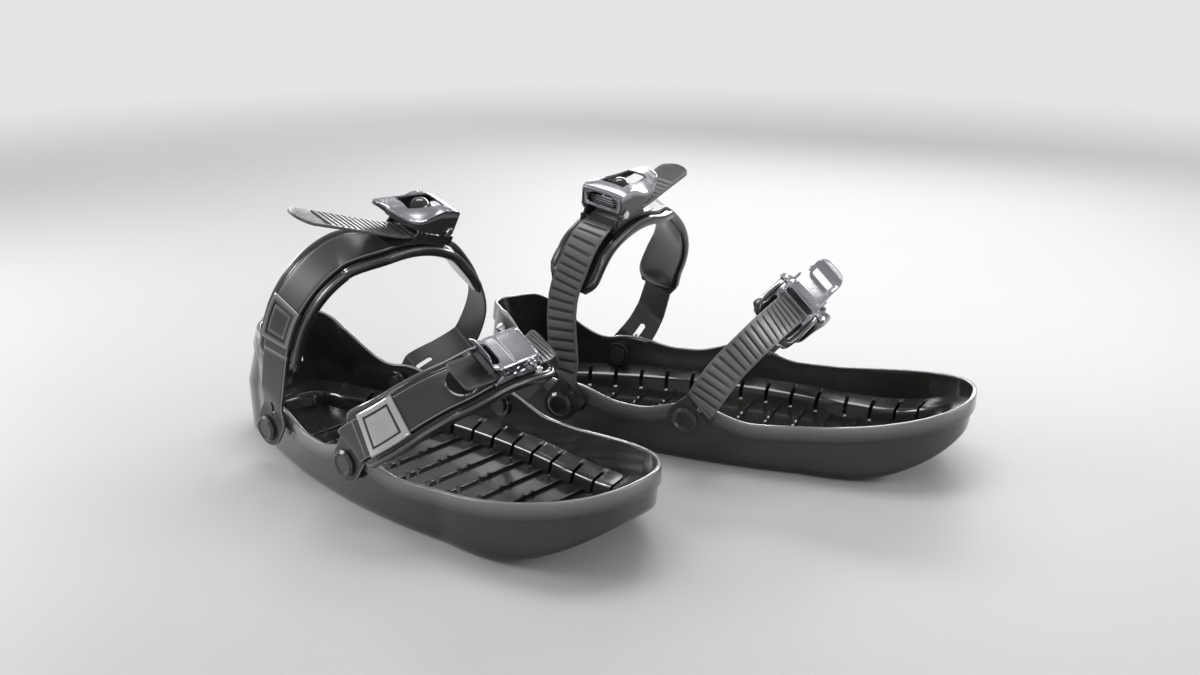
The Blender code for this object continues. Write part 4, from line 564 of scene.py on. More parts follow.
def make_tray(side, finishes, detail):
    """Boat-shaped tray as one skin.

    Every station has an outer column from the middle of the underside over the bilge and the wall
    to the rim, and an inner column from the middle of the floor over the sloped ledge to the rim.
    The ledge drops to the floor at its slots, and the heel window is a hole in both walls.
    """
    x, slots, window = tray_columns()
    y = half_width(x)
    slope_x, slope_y = np.gradient(x), np.gradient(y)
    slope_x[0], slope_y[0], slope_x[-1], slope_y[-1] = 0.0, 1.0, 0.0, -1.0
    length = np.hypot(slope_x, slope_y)
    normal_x, normal_y = slope_y / length, -slope_x / length
    rim, low = rim_height(x), bottom_height(x)
    floor = low + FLOOR_THICKNESS
    ledge = WALL + WALL_DRAFT
    in_slot = (np.min(np.abs(x[:, None] - slots), axis=1) < 0.00158).astype(float)

    def column(inset, z, scale=1.0):
        """One row of points for all stations at an inset from the rim outline and a height."""
        above = np.clip(z - 0.040, 0.0, None) * np.clip((0.1 - x) / 0.1, 0.0, 1.0)
        px = x + normal_x * inset + HEEL_CUP_LEAN * above
        py = np.clip(y + normal_y * inset - HEEL_CUP_TAPER * above * np.minimum(y / 0.03, 1.0), 0.0, None)
        return np.stack([px, py * scale, z + 0.0 * px], -1)

    outer, inner = [], []
    for scale in np.linspace(0.0, 1.0, 44):
        row = column(BOTTOM_INSET, low, scale)
        off = np.min(np.abs(row[:, 1:2] - np.array([0.0, RUNNER_SPACING])), axis=1)
        groove = smooth((x - RUNNER_START_X) / 0.08) * smooth((0.5 * RUNNER_WIDTH - off) / 0.0022)
        row[:, 2] += RUNNER_DEPTH * groove
        outer.append(row)
        inner.append(column(ledge + LEDGE_WIDTH + LEDGE_TOE, floor, scale))
    for u in np.linspace(0.0, 1.0, 12)[1:]:
        angle = 0.5 * math.pi * u
        outer.append(column(BOTTOM_INSET - (BOTTOM_INSET - HULL_INSET) * math.sin(angle),
                            low + BILGE_HEIGHT * (1.0 - math.cos(angle))))
        plain = np.array([[0.0, ledge + LEDGE_WIDTH + LEDGE_TOE, 0.0],
                          [0.40, ledge + LEDGE_WIDTH + 0.0006, 0.0088],
                          [0.55, ledge + LEDGE_WIDTH - 0.0008, 0.0102], [1.0, ledge, LEDGE_HEIGHT]])
        cut = np.array([[0.0, ledge + LEDGE_WIDTH + LEDGE_TOE, 0.0],
                        [0.10, ledge + LEDGE_WIDTH + 0.001, SLOT_FLOOR], [0.70, ledge + 0.0045, SLOT_FLOOR],
                        [0.80, ledge + 0.0040, LEDGE_HEIGHT - 0.0018], [1.0, ledge, LEDGE_HEIGHT]])
        inset, lift = (np.interp(u, plain[:, 0], plain[:, k]) * (1.0 - in_slot)
                       + np.interp(u, cut[:, 0], cut[:, k]) * in_slot for k in (1, 2))
        inner.append(column(inset, floor + lift))
    foot, head = low + BILGE_HEIGHT, rim - RIM_BAND_DEPTH
    bottom, top = WINDOW_BOTTOM, WINDOW_BOTTOM + WINDOW_HEIGHT
    outer_at = [(z - BILGE_HEIGHT) / (rim[0] - RIM_BAND_DEPTH - BILGE_HEIGHT) for z in (bottom, top)]
    inner_at = [(z - FLOOR_THICKNESS - LEDGE_HEIGHT) / (rim[0] - 0.001 - FLOOR_THICKNESS - LEDGE_HEIGHT)
                for z in (bottom, top)]
    steps = np.concatenate([np.linspace(part, part + 1.0, count)[1:]
                            for part, count in ((0.0, 8), (1.0, 9), (2.0, 6))])
    window_from = len(outer) + 6
    for step in steps:
        f = float(np.interp(step, [0.0, 1.0, 2.0, 3.0], [0.0, *outer_at, 1.0]))
        g = float(np.interp(step, [0.0, 1.0, 2.0, 3.0], [0.0, *inner_at, 0.97]))
        outer.append(column(HULL_INSET + (RIM_BAND_STEP - HULL_INSET) * f, foot + (head - foot) * f))
        inner.append(column(ledge - WALL_DRAFT * g,
                            floor + LEDGE_HEIGHT + (rim - 0.001 - floor - LEDGE_HEIGHT) * g))
    window_to = window_from + 8
    for outer_inset, outer_drop, inner_inset, inner_drop in (
            (0.0011, RIM_BAND_DEPTH - 0.0001, WALL, 0.0016), (0.0003, RIM_BAND_DEPTH - 0.0006, WALL, 0.0012),
            (0.0, RIM_BAND_DEPTH - 0.0012, WALL, 0.0010), (0.0, 0.0010, WALL - 0.0001, 0.0007),
            (0.0002, 0.0004, WALL - 0.0002, 0.0004), (0.0006, 0.0001, WALL - 0.0006, 0.0001),
            (0.0010, 0.0, WALL - 0.0010, 0.0)):
        outer.append(column(outer_inset, rim - outer_drop))
        inner.append(column(inner_inset, rim - inner_drop))
    outer, inner = np.array(outer), np.array(inner)
    mirror = np.array([1.0, -1.0, 1.0])
    outer, inner = (np.concatenate([grid * mirror, grid[:, -2:0:-1]], axis=1) for grid in (outer, inner))
    hole = np.zeros((outer.shape[0] - 1, outer.shape[1]), bool)
    at_back = int(np.argmin(np.abs(x - window)))
    hole[window_from:window_to, :at_back] = True
    hole[window_from:window_to, -at_back:] = True
    parts = [shell(outer, inner, hole, wrap=True)] + floor_ribs(slots) + bosses()
    # Painted highlight: the last rows of the rim, outside and inside, take the bright tray tone as a light
    # line along the rim.
    row = np.arange(outer.shape[0])[:, None] + 0.0 * outer[..., 0]
    lip = np.clip(row - (outer.shape[0] - 5), 0.0, 1.0)
    shades = [lip.ravel(), lip.ravel()] + [np.zeros(len(points)) for points, _ in parts[1:]]
    return make_piece(f"{side}_tray_looks", parts, ski_matrix(side), finishes["tray"], "skis", "tray",
                      sharp=detail.edge_angle_deg, stands_for=(f"{side}_tray",), shades=shades)


def floor_ribs(slots):
    """Thin ribs across the floor, each with a row of small pointed grip teeth."""
    ribs = []
    for x in slots[:-1] + 0.5 * SLOT_PITCH:
        reach = float(half_width(x)) - WALL - WALL_DRAFT - LEDGE_WIDTH - LEDGE_TOE + 0.003
        floor = float(bottom_height(x)) + FLOOR_THICKNESS
        y = np.unique(np.concatenate([np.linspace(-reach, reach, 40), *[
            s * (c + np.array([0.0, 0.0020, 0.0040])) for s in (-1.0, 1.0) for c in (0.008, 0.017)]]))
        tooth = sum(np.clip(1.0 - np.abs(np.abs(y) - c) / 0.0020, 0.0, 1.0) for c in (0.010, 0.019))
        top = floor + 0.0021 + 0.0014 * tooth
        sections = [np.stack([np.full_like(y, x + dx), y, z], -1) for dx, z in (
            (-0.0010, top - 0.0005), (-0.0006, top), (0.0006, top), (0.0010, top - 0.0005))]
        under = [np.stack([np.full_like(y, x + dx), y, np.full_like(y, floor - 0.001)], -1)
                 for dx in (-0.0010, -0.0006, 0.0006, 0.0010)]
        ribs.append(shell(np.array(sections), np.array(under)))
    return ribs


def bosses():
    """Round seats of the rivets, outside and inside both walls."""
    seats = []
    for x, z in RIVET_AT.values():
        thinnest = float(min(half_width(x - BOSS_RADIUS), half_width(x + BOSS_RADIUS)))
        inside_at, outside_at = thinnest - WALL - WALL_DRAFT - 0.0006, strap_seat(x) - GAP
        for sign in (-1.0, 1.0):
            for face, depth in ((outside_at, -0.004), (inside_at, 0.003)):
                bevel = math.copysign(0.0004, depth)
                seats.append(lathe([(BOSS_RADIUS, sign * (face + depth)),
                                    (BOSS_RADIUS, sign * (face + bevel)),
                                    (BOSS_RADIUS - 0.0004, sign * face)], (x, z)))
    return seats


def strip_grid(s, half, slot_at, low, high, edge=0.0007):
    """Flat strip with rounded edges and a round-ended slot, as an outer and an inner grid and the hole.

    Each row has fixed shares of its half width, except two columns that follow the rim of the slot.
    """
    past = np.clip(np.abs(s - slot_at) - 0.5 * SLOT_LENGTH + SLOT_HALF, 0.0, None)
    slot = np.sqrt(np.clip(SLOT_HALF ** 2 - past ** 2, 0.0, None))
    slot = np.minimum(np.maximum(slot, 0.0002), 0.4 * half)
    edge = np.minimum(edge, 0.3 * half)
    side = [half, half - 0.12 * edge, half - 0.5 * edge, half - edge, 0.72 * half + 0.28 * slot,
            0.4 * half + 0.6 * slot, slot]
    drop = [1.0, 0.45, 0.12, 0.0, 0.0, 0.0, 0.0]
    w = np.stack([-k for k in side] + side[::-1], -1)
    fall = np.array(drop + drop[::-1]) * edge[:, None]
    rows = np.repeat(s[:, None], w.shape[1], axis=1)
    hole = np.zeros((len(s) - 1, w.shape[1] - 1), bool)
    hole[:, len(side) - 1] = (np.minimum(slot[:-1], slot[1:]) > 0.00021)
    top = np.broadcast_to(np.asarray(high, float).reshape(-1, 1), w.shape) - fall
    under = np.broadcast_to(np.asarray(low, float).reshape(-1, 1), w.shape) + 0.0
    return rows, w, top, under, hole


def paddle_half(s, end, half):
    """Half width of a leg that widens to the round paddle about its rivet."""
    away = np.abs(s - end)
    body = PADDLE_RADIUS + (half - PADDLE_RADIUS) * smooth((away - 0.012) / 0.03)
    beyond = (s < end) if end < 0.1 else (s > end)
    return np.where(beyond, np.sqrt(np.clip(PADDLE_RADIUS ** 2 - away ** 2, 1e-9, None)), body)


def leg_rows(slot_at):
    """Distances that are close round a rivet and at the ends of the slot."""
    a = np.linspace(0.03, 0.5 * math.pi, 14)
    round_end = SLOT_HALF * np.sin(np.linspace(0.0, 0.5 * math.pi, 8))
    ends = [slot_at + sign * (0.5 * SLOT_LENGTH - SLOT_HALF + round_end) for sign in (-1.0, 1.0)]
    return np.concatenate([-PADDLE_RADIUS * np.cos(a), *ends])


def make_base_strap(side, place, finishes):
    """Smooth strap from the lateral rivet to the buckle, with a raised step above its slot."""
    loop = Loop(side, place)
    slot_at = SLOT_START + 0.5 * SLOT_LENGTH
    end = loop.buckle_at + CHASSIS_MEDIAL - 0.004
    step_at = KEEPER_AT[place] - 0.5 * KEEPER_LENGTH - 0.006
    s = np.unique(np.concatenate([leg_rows(slot_at), np.arange(0.001, end, 0.0025), [end],
                                  step_at + np.array([-0.0003, 0.0, 0.0003, 0.0006])]))
    half = paddle_half(s, 0.0, 0.5 * STRAP_WIDTH[place])
    high = STRAP_THICKNESS - 0.0003 * (1.0 - smooth((s - step_at) / 0.0004))
    rows, w, top, under, hole = strip_grid(s, half, slot_at, 0.0 * s, high)
    parts = [shell(loop.lay(rows, w, top), loop.lay(rows, w, under), hole),
             button(loop, PEG_AT, PEG_RADIUS, 0.0002, STRAP_THICKNESS, BUTTON_TURNS)]
    # Painted highlight: the bevelled edges and the step take the bright strap tone as light lines, and the
    # peg takes it as a glint.
    edge = np.zeros(w.shape)
    edge[:, [1, 2, -3, -2]] = 1.0
    edge = np.maximum(edge, bell(s - step_at, 0.0006)[:, None])
    return dress(side, place, "base_strap_looks", parts, finishes["base_strap"], "strap", "base_strap",
                 "base_strap", shades=[outside(edge), np.ones(len(parts[1][0]))])


def button(loop, s, radius, low, high, turns):
    """Round button in the middle of a strap: a disc with a rounded edge and a slightly dished top."""
    profile = ((0.0, low), (radius, low), (radius, high - 0.25 * radius), (0.88 * radius, high),
               (0.60 * radius, high - 0.03 * radius), (0.0, high - 0.06 * radius))
    angle = 2.0 * math.pi * np.arange(turns) / turns
    return tube(np.array([loop.lay(s + r * np.sin(angle), r * np.cos(angle), n + 0.0 * angle)
                          for r, n in profile]))


def make_ladder(side, place, finishes):
    """Toothed strap: edge rails, broad teeth with narrow grooves, smooth leg and free tail."""
    loop = Loop(side, place)
    tail_from = loop.buckle_at - TAIL_LEAVES_AT
    start = tail_from - loop.tail
    end = loop.length
    slot_at = end - SLOT_START - 0.5 * SLOT_LENGTH
    teeth_end = end - LADDER_FLAT
    count = int((teeth_end - start - 0.012) / TOOTH_PITCH)
    first = teeth_end - count * TOOTH_PITCH
    profile = np.array([(0.0, 0.0), (0.03, 0.9), (0.08, 1.0), (0.64, 0.86), (0.72, 0.78), (0.76, 0.0)])
    tooth = (np.arange(count)[:, None] * TOOTH_PITCH + first + profile[:, 0] * TOOTH_PITCH).ravel()
    a = np.linspace(0.03, 0.5 * math.pi, 14)
    leg = end - leg_rows(SLOT_START + 0.5 * SLOT_LENGTH)
    s = np.concatenate([start - TAIL_TIP * np.cos(a), np.linspace(start, first, 5), tooth,
                        [teeth_end, teeth_end + 0.0006], np.arange(teeth_end + 0.001, end, 0.002),
                        leg, [end]])
    s = np.unique(np.round(s, 6))
    point = 2.0 if place == "ankle" else 7.0
    tip = np.clip(start - s, 0.0, None) / TAIL_TIP
    share = np.clip(1.0 - tip ** point, 1e-4, None) ** (1.0 / point)
    half = 0.5 * LADDER_WIDTH * share
    half = np.where(s > teeth_end, paddle_half(s, end, 0.5 * LADDER_WIDTH), half)
    phase = np.mod(s - first, TOOTH_PITCH) / TOOTH_PITCH
    phase = np.where(phase > 0.9999, 0.0, phase)
    toothed = (s > first - 1e-6) & (s < teeth_end - 1e-6)
    relief = np.interp(phase, profile[:, 0], profile[:, 1]) * toothed
    rows, w, _, _, hole = strip_grid(s, half, slot_at, 0.0 * s, 0.0 * s, 0.0005)
    rail = np.clip((np.abs(w) - (half[:, None] - 0.0016)) / 0.0003, 0.0, 1.0) * (s < teeth_end)[:, None]
    base = LADDER_BODY + (STRAP_THICKNESS - LADDER_BODY) * np.clip((s - teeth_end) / 0.0006, 0.0, 1.0)
    teeth = relief[:, None] * (np.abs(w) < half[:, None] - 0.0008)
    top = base[:, None] + TOOTH_HEIGHT * np.maximum(teeth, 0.55 * rail)
    climb = STRAP_THICKNESS + GAP + CHASSIS_PLATE + GAP
    low = climb * smooth((loop.buckle_at + CHASSIS_MEDIAL + LADDER_CLIMB - s) / LADDER_CLIMB)
    edge = np.concatenate([[0.0004, 0.0002, 0.0], np.zeros(w.shape[1] - 6), [0.0, 0.0002, 0.0004]])
    grids = [loop.lay(rows, w, low[:, None] + height, tail_from) for height in (top - edge, 0.0 * top)]
    # Painted light: tooth tops, edge rails, the flat bar past the teeth and, faintly, the tail take the
    # bright tone as painted highlights, and the grooves stay dark as painted shade.
    light = np.where(s < teeth_end - 1e-6, relief ** 2, 0.0) + 0.25 * (s < first)
    light = light + (np.abs(s - teeth_end - 0.002) < 0.0019)
    light = np.clip(light[:, None] * (np.abs(w) < half[:, None] - 0.0018) + 0.7 * rail, 0.12, 1.0)
    return dress(side, place, "ladder_looks", [shell(*grids, hole)], finishes["ladder_strap"], "ladder",
                 "ladder_strap", "ladder_strap", sharp=30.0, shades=[outside(light, 0.12)])


def make_pad(side, place, finishes):
    """Padded shell with rounded ends and two rims round its edge.

    The height depends only on the distance from the outline, which is a rectangle with round
    corners, and the rims fade out where the base strap lies on the pad.
    """
    loop = Loop(side, place)
    start, end = loop.pad_at, loop.pad_at + PAD_LENGTH[place]
    from_end = np.concatenate([PAD_CORNER * (1.0 - np.cos(np.linspace(0.02, 0.5 * math.pi, 12))),
                               np.arange(PAD_CORNER + 0.002, 0.5 * (end - start), 0.0022)])
    s = np.concatenate([start + from_end, (end - from_end)[::-1]])
    inward = np.minimum(s - start, end - s)
    scale = 0.72 + 0.28 * np.sin(0.5 * math.pi * np.clip(inward / PAD_CORNER, 0.0, 1.0))
    half = 0.5 * PAD_WIDTH * scale
    share = np.array([0.0, 0.0006, 0.0014, 0.0024, 0.0034, 0.0042,
                      0.0048, 0.0056, 0.0064, 0.0074, 0.0100, 0.0140])
    side_w = np.concatenate([-(0.5 * PAD_WIDTH - share), [0.0], (0.5 * PAD_WIDTH - share)[::-1]])
    w = side_w * scale[:, None]
    rows = np.repeat(s[:, None], w.shape[1], axis=1)
    across = np.clip(half[:, None] - np.abs(w), 0.0, PAD_CORNER)
    ahead = np.clip(inward, 0.0, PAD_CORNER)[:, None]
    depth = PAD_CORNER - np.hypot(PAD_CORNER - across, PAD_CORNER - ahead)
    rims = np.interp(depth, [0.0, 0.0005, 0.0014, 0.0026, 0.0038, 0.0044, 0.0052, 0.0062, 0.0070],
                     [-0.0014, 0.0004, 0.0014, 0.0014, 0.0008, 0.0001, 0.0007, 0.0006, 0.0])
    clear = smooth((np.abs(w) - 0.0131) / 0.0016) * smooth((inward - 0.003) / 0.006)[:, None]
    top = np.where(rims > 0.0, rims * clear, rims) - 2.0 * GAP * (2.0 - smooth(inward / 0.012)[:, None])
    # Painted highlight: the crests of the two rims take the bright pad tone.
    crest = np.clip(rims / 0.0014, 0.0, 1.0) ** 2 * clear
    thin = (PAD_THICKNESS - 0.002) * (1.0 - smooth((inward + 0.003) / 0.010))[:, None]
    sunk = 1.0 - np.clip(depth / 0.004, 0.0, 1.0)
    puff = 0.0016 * (1.0 - np.sqrt(np.clip(1.0 - sunk ** 2, 0.0, None)))
    under = -PAD_THICKNESS + thin + puff - 2.0 * GAP
    parts = [shell(loop.lay(rows, w, top), loop.lay(rows, w, np.minimum(under, top - 0.0004)))]
    item = dress(side, place, "pad_looks", parts, finishes["pad"], "strap", "pad", "pad", sharp=60.0,
                 shades=[outside(crest)])
    return item


def make_keeper(side, place, finishes):
    """Rectangular sleeve over the base strap: bevelled frame, groove and a raised panel inside it."""
    loop = Loop(side, place)
    half = 0.5 * STRAP_WIDTH[place] + GAP + 0.0014
    middle, reach = KEEPER_AT[place], 0.5 * KEEPER_LENGTH
    away = np.array([0.0, 0.0004, 0.0010, 0.0038, 0.0042, 0.0052, 0.0056, 0.0080, 0.0110])
    s = middle + np.concatenate([-(reach - away), [0.0], (reach - away)[::-1]])
    w = np.concatenate([-(half - away), [0.0], (half - away)[::-1]])
    rows, columns = np.meshgrid(s, w, indexing="ij")
    depth = np.minimum(reach - np.abs(rows - middle), half - np.abs(columns))
    low = STRAP_THICKNESS + 2.0 * GAP
    relief = [-0.0011, -0.0004, 0.0, 0.0, -0.0008, -0.0008, -0.0002, -0.0001, -0.0001]
    top = low + KEEPER_THICKNESS + np.interp(depth, away, relief)
    foot = np.where(half - np.abs(columns) < 0.0005, GAP, low - 0.0001)
    # On the toe keeper the metal plate wears its own bright tone and the groove is painted dark as painted
    # shade; on the ankle keeper the frame's bevels and the panel's edge take the bright tone as painted
    # highlights.
    finish, tone_and_painted_light = {"toe": ("plate", [0.9, 0.9, 1.0, 1.0, 0.0, 0.0, 0.9, 0.85, 0.8]),
                     "ankle": ("keeper", [0.1, 0.6, 0.5, 0.0, 0.0, 0.0, 0.35, 0.0, 0.0])}[place]
    parts = [shell(loop.lay(rows, columns, top), loop.lay(rows, columns, foot))]
    return dress(side, place, "keeper_looks", parts, finishes[finish], "strap", "keeper", "keeper",
                 sharp=25.0, shades=[outside(np.interp(depth, away, tone_and_painted_light))])


# Hood of the ankle lever: share of its length from the front, lower edge, side edge and crown
# counted from the top, share of the width
HOOD = np.array([
    (0.0, 0.0132, -0.0028, -0.0020, 1.0), (0.012, 0.0128, -0.0018, -0.0008, 1.0),
    (0.045, 0.0120, -0.0012, 0.0, 1.0), (0.172, 0.0098, -0.0014, 0.0009, 1.0),
    (0.290, 0.0097, -0.0032, 0.0006, 1.0), (0.420, 0.0104, -0.0078, -0.0002, 1.0),
    (0.565, 0.0120, -0.0118, -0.0014, 0.985), (0.730, 0.0142, -0.0112, -0.0030, 0.90),
    (0.875, 0.0168, -0.0088, -0.0044, 0.70), (0.965, 0.0192, -0.0070, -0.0052, 0.42),
    (1.0, 0.0202, -0.0064, -0.0056, 0.10)])


def hood_grid():
    """Crowned hood of the ankle lever in its buckle's frame: outer grid, inner grid, window and shades.

    Walls go up to a side edge, and a rounded crown joins the two edges. The edge, the crown, the
    lower edge and the width flow along the lever through one table.
    """
    (front, wide), (back, narrow), corner = HOOD_WINDOW_FRONT, HOOD_WINDOW_BACK, HOOD_WINDOW_CORNER
    steps = np.sin(np.linspace(0.0, 0.5 * math.pi, 6)) * corner
    t = np.concatenate([np.linspace(LEVER_FRONT_T, front, 10), front - steps,
                        np.linspace(front - 0.004, back + 0.004, 12), back + steps,
                        np.linspace(back - 0.0015, LEVER_TIP_T, 26)])
    t = np.unique(np.round(t, 6))[::-1]
    along = (LEVER_FRONT_T - t) / (LEVER_FRONT_T - LEVER_TIP_T)
    low, edge, crown, width = (flowing(along, HOOD[:, 0], HOOD[:, k])[:, None] for k in (1, 2, 3, 4))
    edge, crown, half = LEVER_HIGH + edge, LEVER_HIGH + crown, LEVER_OUTER * np.clip(width, 0.05, 1.0)
    inside = (t <= front + 1e-9) & (t >= back - 1e-9)
    window = wide + (narrow - wide) * (front - t) / (front - back)
    short = np.clip(corner - np.minimum(front - t, t - back), 0.0, corner)
    window -= corner - np.sqrt(np.clip(corner ** 2 - short ** 2, 0.0, None))
    window = np.where(inside, window, np.where(t > front, wide, narrow) - corner)[:, None]
    window = np.minimum(window, 0.6 * half) / half
    sides = window + (1.0 - window) * np.array([0.0, 0.2, 0.4, 0.6, 0.8, 0.93, 1.0])
    middle = window * np.array([-0.66, -0.33, 0.0, 0.33, 0.66])
    share = np.concatenate([-sides[:, ::-1], middle, sides], axis=1)
    rise = 1.0 - np.clip((np.abs(share) - 0.20) / 0.80, 0.0, 1.0) ** 2.2
    lip = 0.0007 * smooth((np.abs(share) - 0.90) / 0.1)
    crest = edge + (crown - edge) * rise + lip * (along > 0.2)[:, None]
    plate = np.minimum(LEVER_WALL, 0.45 * (crown - low))
    wall_n = low + (crest[:, :1] - 0.0004 - low) * np.array([0.0, 0.35, 0.7, 0.93])
    lining_n = np.minimum(wall_n, np.maximum(crest[:, :1] - 0.0013, low + 0.0001))
    walls = np.repeat(half, wall_n.shape[1], axis=1)
    w = np.concatenate([-walls, share * half, walls], axis=1)
    n = np.concatenate([wall_n, crest, wall_n[:, ::-1]], axis=1)
    inner_n = np.concatenate([lining_n, crest - np.maximum(plate, 0.0002), lining_n[:, ::-1]], axis=1)
    shrink = (half - np.minimum(LEVER_WALL, 0.4 * half)) / half
    inner_w = w * np.where(np.abs(w / half) > 0.999, shrink, np.maximum(shrink, 0.0) ** 0.5)
    rows = np.repeat(t[:, None], w.shape[1], axis=1)
    hole = np.zeros((len(t) - 1, w.shape[1] - 1), bool)
    hole[:, 10:16] = (inside[:-1] & inside[1:])[:, None]
    # Painted light: the crown band takes the bright chrome tone as a painted highlight and the side walls
    # the dark tone as painted shade.
    bright = np.zeros(w.shape)
    bright[:, 3:-3] = 1.0
    return np.stack([rows, w, n], -1), np.stack([rows, inner_w, inner_n], -1), hole, bright


def front_face():
    """Front plate of the ankle lever with an arched window: rows up it, columns across it."""
    low, high, outer = LEVER_FRONT_LOW, LEVER_HIGH - 0.0022, LEVER_OUTER - 0.0001
    sill, spring, top = low + 0.0022, low + 0.0066, low + 0.0118
    n = np.unique(np.concatenate([[low, low + 0.0006, high - 0.0008, high], np.linspace(sill, spring, 6),
                                  spring + (top - spring) * np.sin(np.linspace(0.0, 0.5 * math.pi, 12))]))
    above = np.clip(n - spring, 0.0, top - spring) / (top - spring)
    arch = 0.0124 * np.sqrt(np.clip(1.0 - above ** 2, 0.0004, None))
    corner = 0.0010 * np.clip(1.0 - (n - sill) / 0.0010, 0.0, 1.0) ** 2
    arch = np.where((n > sill - 1e-9), arch - corner, 0.0102)
    width = outer - 0.0020 * smooth((n - high + 0.0030) / 0.0030)
    width = width - 0.0008 * smooth((low + 0.001 - n) / 0.001)
    blend = np.array([0.0, 0.12, 0.5, 0.88, 1.0])
    right = arch[:, None] + (width - arch)[:, None] * blend
    w = np.concatenate([-right[:, ::-1], arch[:, None] * np.array([-0.5, 0.0, 0.5]), right], axis=1)
    rows = np.repeat(n[:, None], w.shape[1], axis=1)
    bevel = np.array([0.0006, 0.0, 0.0, 0.0, 0.0004, 0.0, 0.0, 0.0, 0.0004, 0.0, 0.0, 0.0, 0.0006])
    front = np.stack([LEVER_FRONT_T - 0.0001 - bevel + 0.0 * w, w, rows], -1)
    back = np.stack([LEVER_FRONT_T - 0.0018 + 0.0 * w, w, rows], -1)
    inside = (n >= sill - 1e-9) & (n <= top + 1e-9)
    hole = np.zeros((len(n) - 1, w.shape[1] - 1), bool)
    hole[:, 4:8] = (inside[:-1] & inside[1:])[:, None]
    return shell(front, back, hole)


def bar(centre, size, bevel=0.0004):
    """Block with broken edges in the buckle's frame."""
    t, w, n = (np.array([-0.5 * side, bevel - 0.5 * side, 0.5 * side - bevel, 0.5 * side]) for side in size)
    rows, columns = np.meshgrid(t, w, indexing="ij")
    drop = bevel * ((np.abs(rows) > 0.499 * size[0]) | (np.abs(columns) > 0.499 * size[1]))
    grids = [np.stack([rows, columns, sign * (n[-1] - drop)], -1) for sign in (1.0, -1.0)]
    return shell(grids[0] + np.array(centre), grids[1] + np.array(centre))


def make_ankle_lever(side, finishes):
    """Smoked chrome hood of the ankle lever with its front plate and the round ears at the pivot."""
    outer, inner, hole, bright = hood_grid()
    parts = [shell(outer, inner, hole), front_face()]
    for sign in (-1.0, 1.0):
        ear = [(0.0044, sign * (LEVER_OUTER - LEVER_WALL)), (0.0044, sign * (LEVER_OUTER - 0.0004)),
               (0.0040, sign * LEVER_OUTER), (0.0036, sign * LEVER_OUTER)]
        parts.append(lathe(ear, (PIVOT_T, PIVOT_N)))
    # The hood's shades are painted light, with a bright crown and dark walls; the front plate and the ears
    # are all in the bright tone.
    shades = [outside(bright)] + [np.ones(len(points)) for points, _ in parts[1:]]
    return dress(side, "ankle", "lever_looks", parts, finishes["buckle_lever"], "lever", "buckle_lever",
                 "buckle_lever", Loop(side, "ankle"), sharp=42.0, shades=shades)


def make_lever_inserts(side, finishes):
    """Dark block behind the arched window with four bright ridges, and the cap in the top window."""
    loop = Loop(side, "ankle")
    block = bar((0.0128, 0.0, 0.0180), (0.0018, 0.0236, 0.0080))
    dress(side, "ankle", "window_block", [block], finishes["release_lever"], "lever", "release_lever",
          buckle=loop)
    ridges = [bar((0.0142 - 0.0002 * k, 0.0, 0.0170 + 0.0016 * k), (0.0012, 0.0176 - 0.0014 * k, 0.0008),
                  bevel=0.0002) for k in range(4)]
    dress(side, "ankle", "window_ridges", ridges, finishes["chrome"], "lever", "lever_pin", buckle=loop)
    angle = np.linspace(0.0, 2.0 * math.pi, 49)[:-1]
    tall = np.linspace(0.02, 0.5 * math.pi, 14)[:, None]
    t = -0.0060 + 0.0100 * np.cos(tall) * np.cos(angle)
    w = 0.0090 * np.cos(tall) * np.sin(angle)
    n = 0.0155 + 0.0140 * np.sin(tall) ** 0.9 + 0.0 * angle
    dome = np.stack([t, w, n], -1)
    base = np.stack([t * 0.98, w * 0.98, 0.0150 + 0.0 * n], -1)
    dress(side, "ankle", "cap", [shell(dome, base, wrap=True)], finishes["release_lever"], "lever",
          "release_lever", buckle=loop, sharp=60.0)


TOE_LEVER = np.array([  # t, middle height, side height, half width
    (0.0168, 0.0116, 0.0116, 0.0122), (0.0168, 0.0150, 0.0148, 0.0128), (0.0160, 0.0166, 0.0160, 0.0130),
    (0.0140, 0.0172, 0.0164, 0.0131), (0.0060, 0.0174, 0.0168, 0.0131), (-0.0060, 0.0173, 0.0168, 0.0131),
    (-0.0150, 0.0170, 0.0166, 0.0131), (-0.0205, 0.0176, 0.0172, 0.0131), (-0.0245, 0.0192, 0.0188, 0.0131),
    (-0.0275, 0.0216, 0.0210, 0.0130), (-0.0298, 0.0246, 0.0238, 0.0124), (-0.0308, 0.0264, 0.0254, 0.0112),
    (-0.0312, 0.0280, 0.0268, 0.0092)])


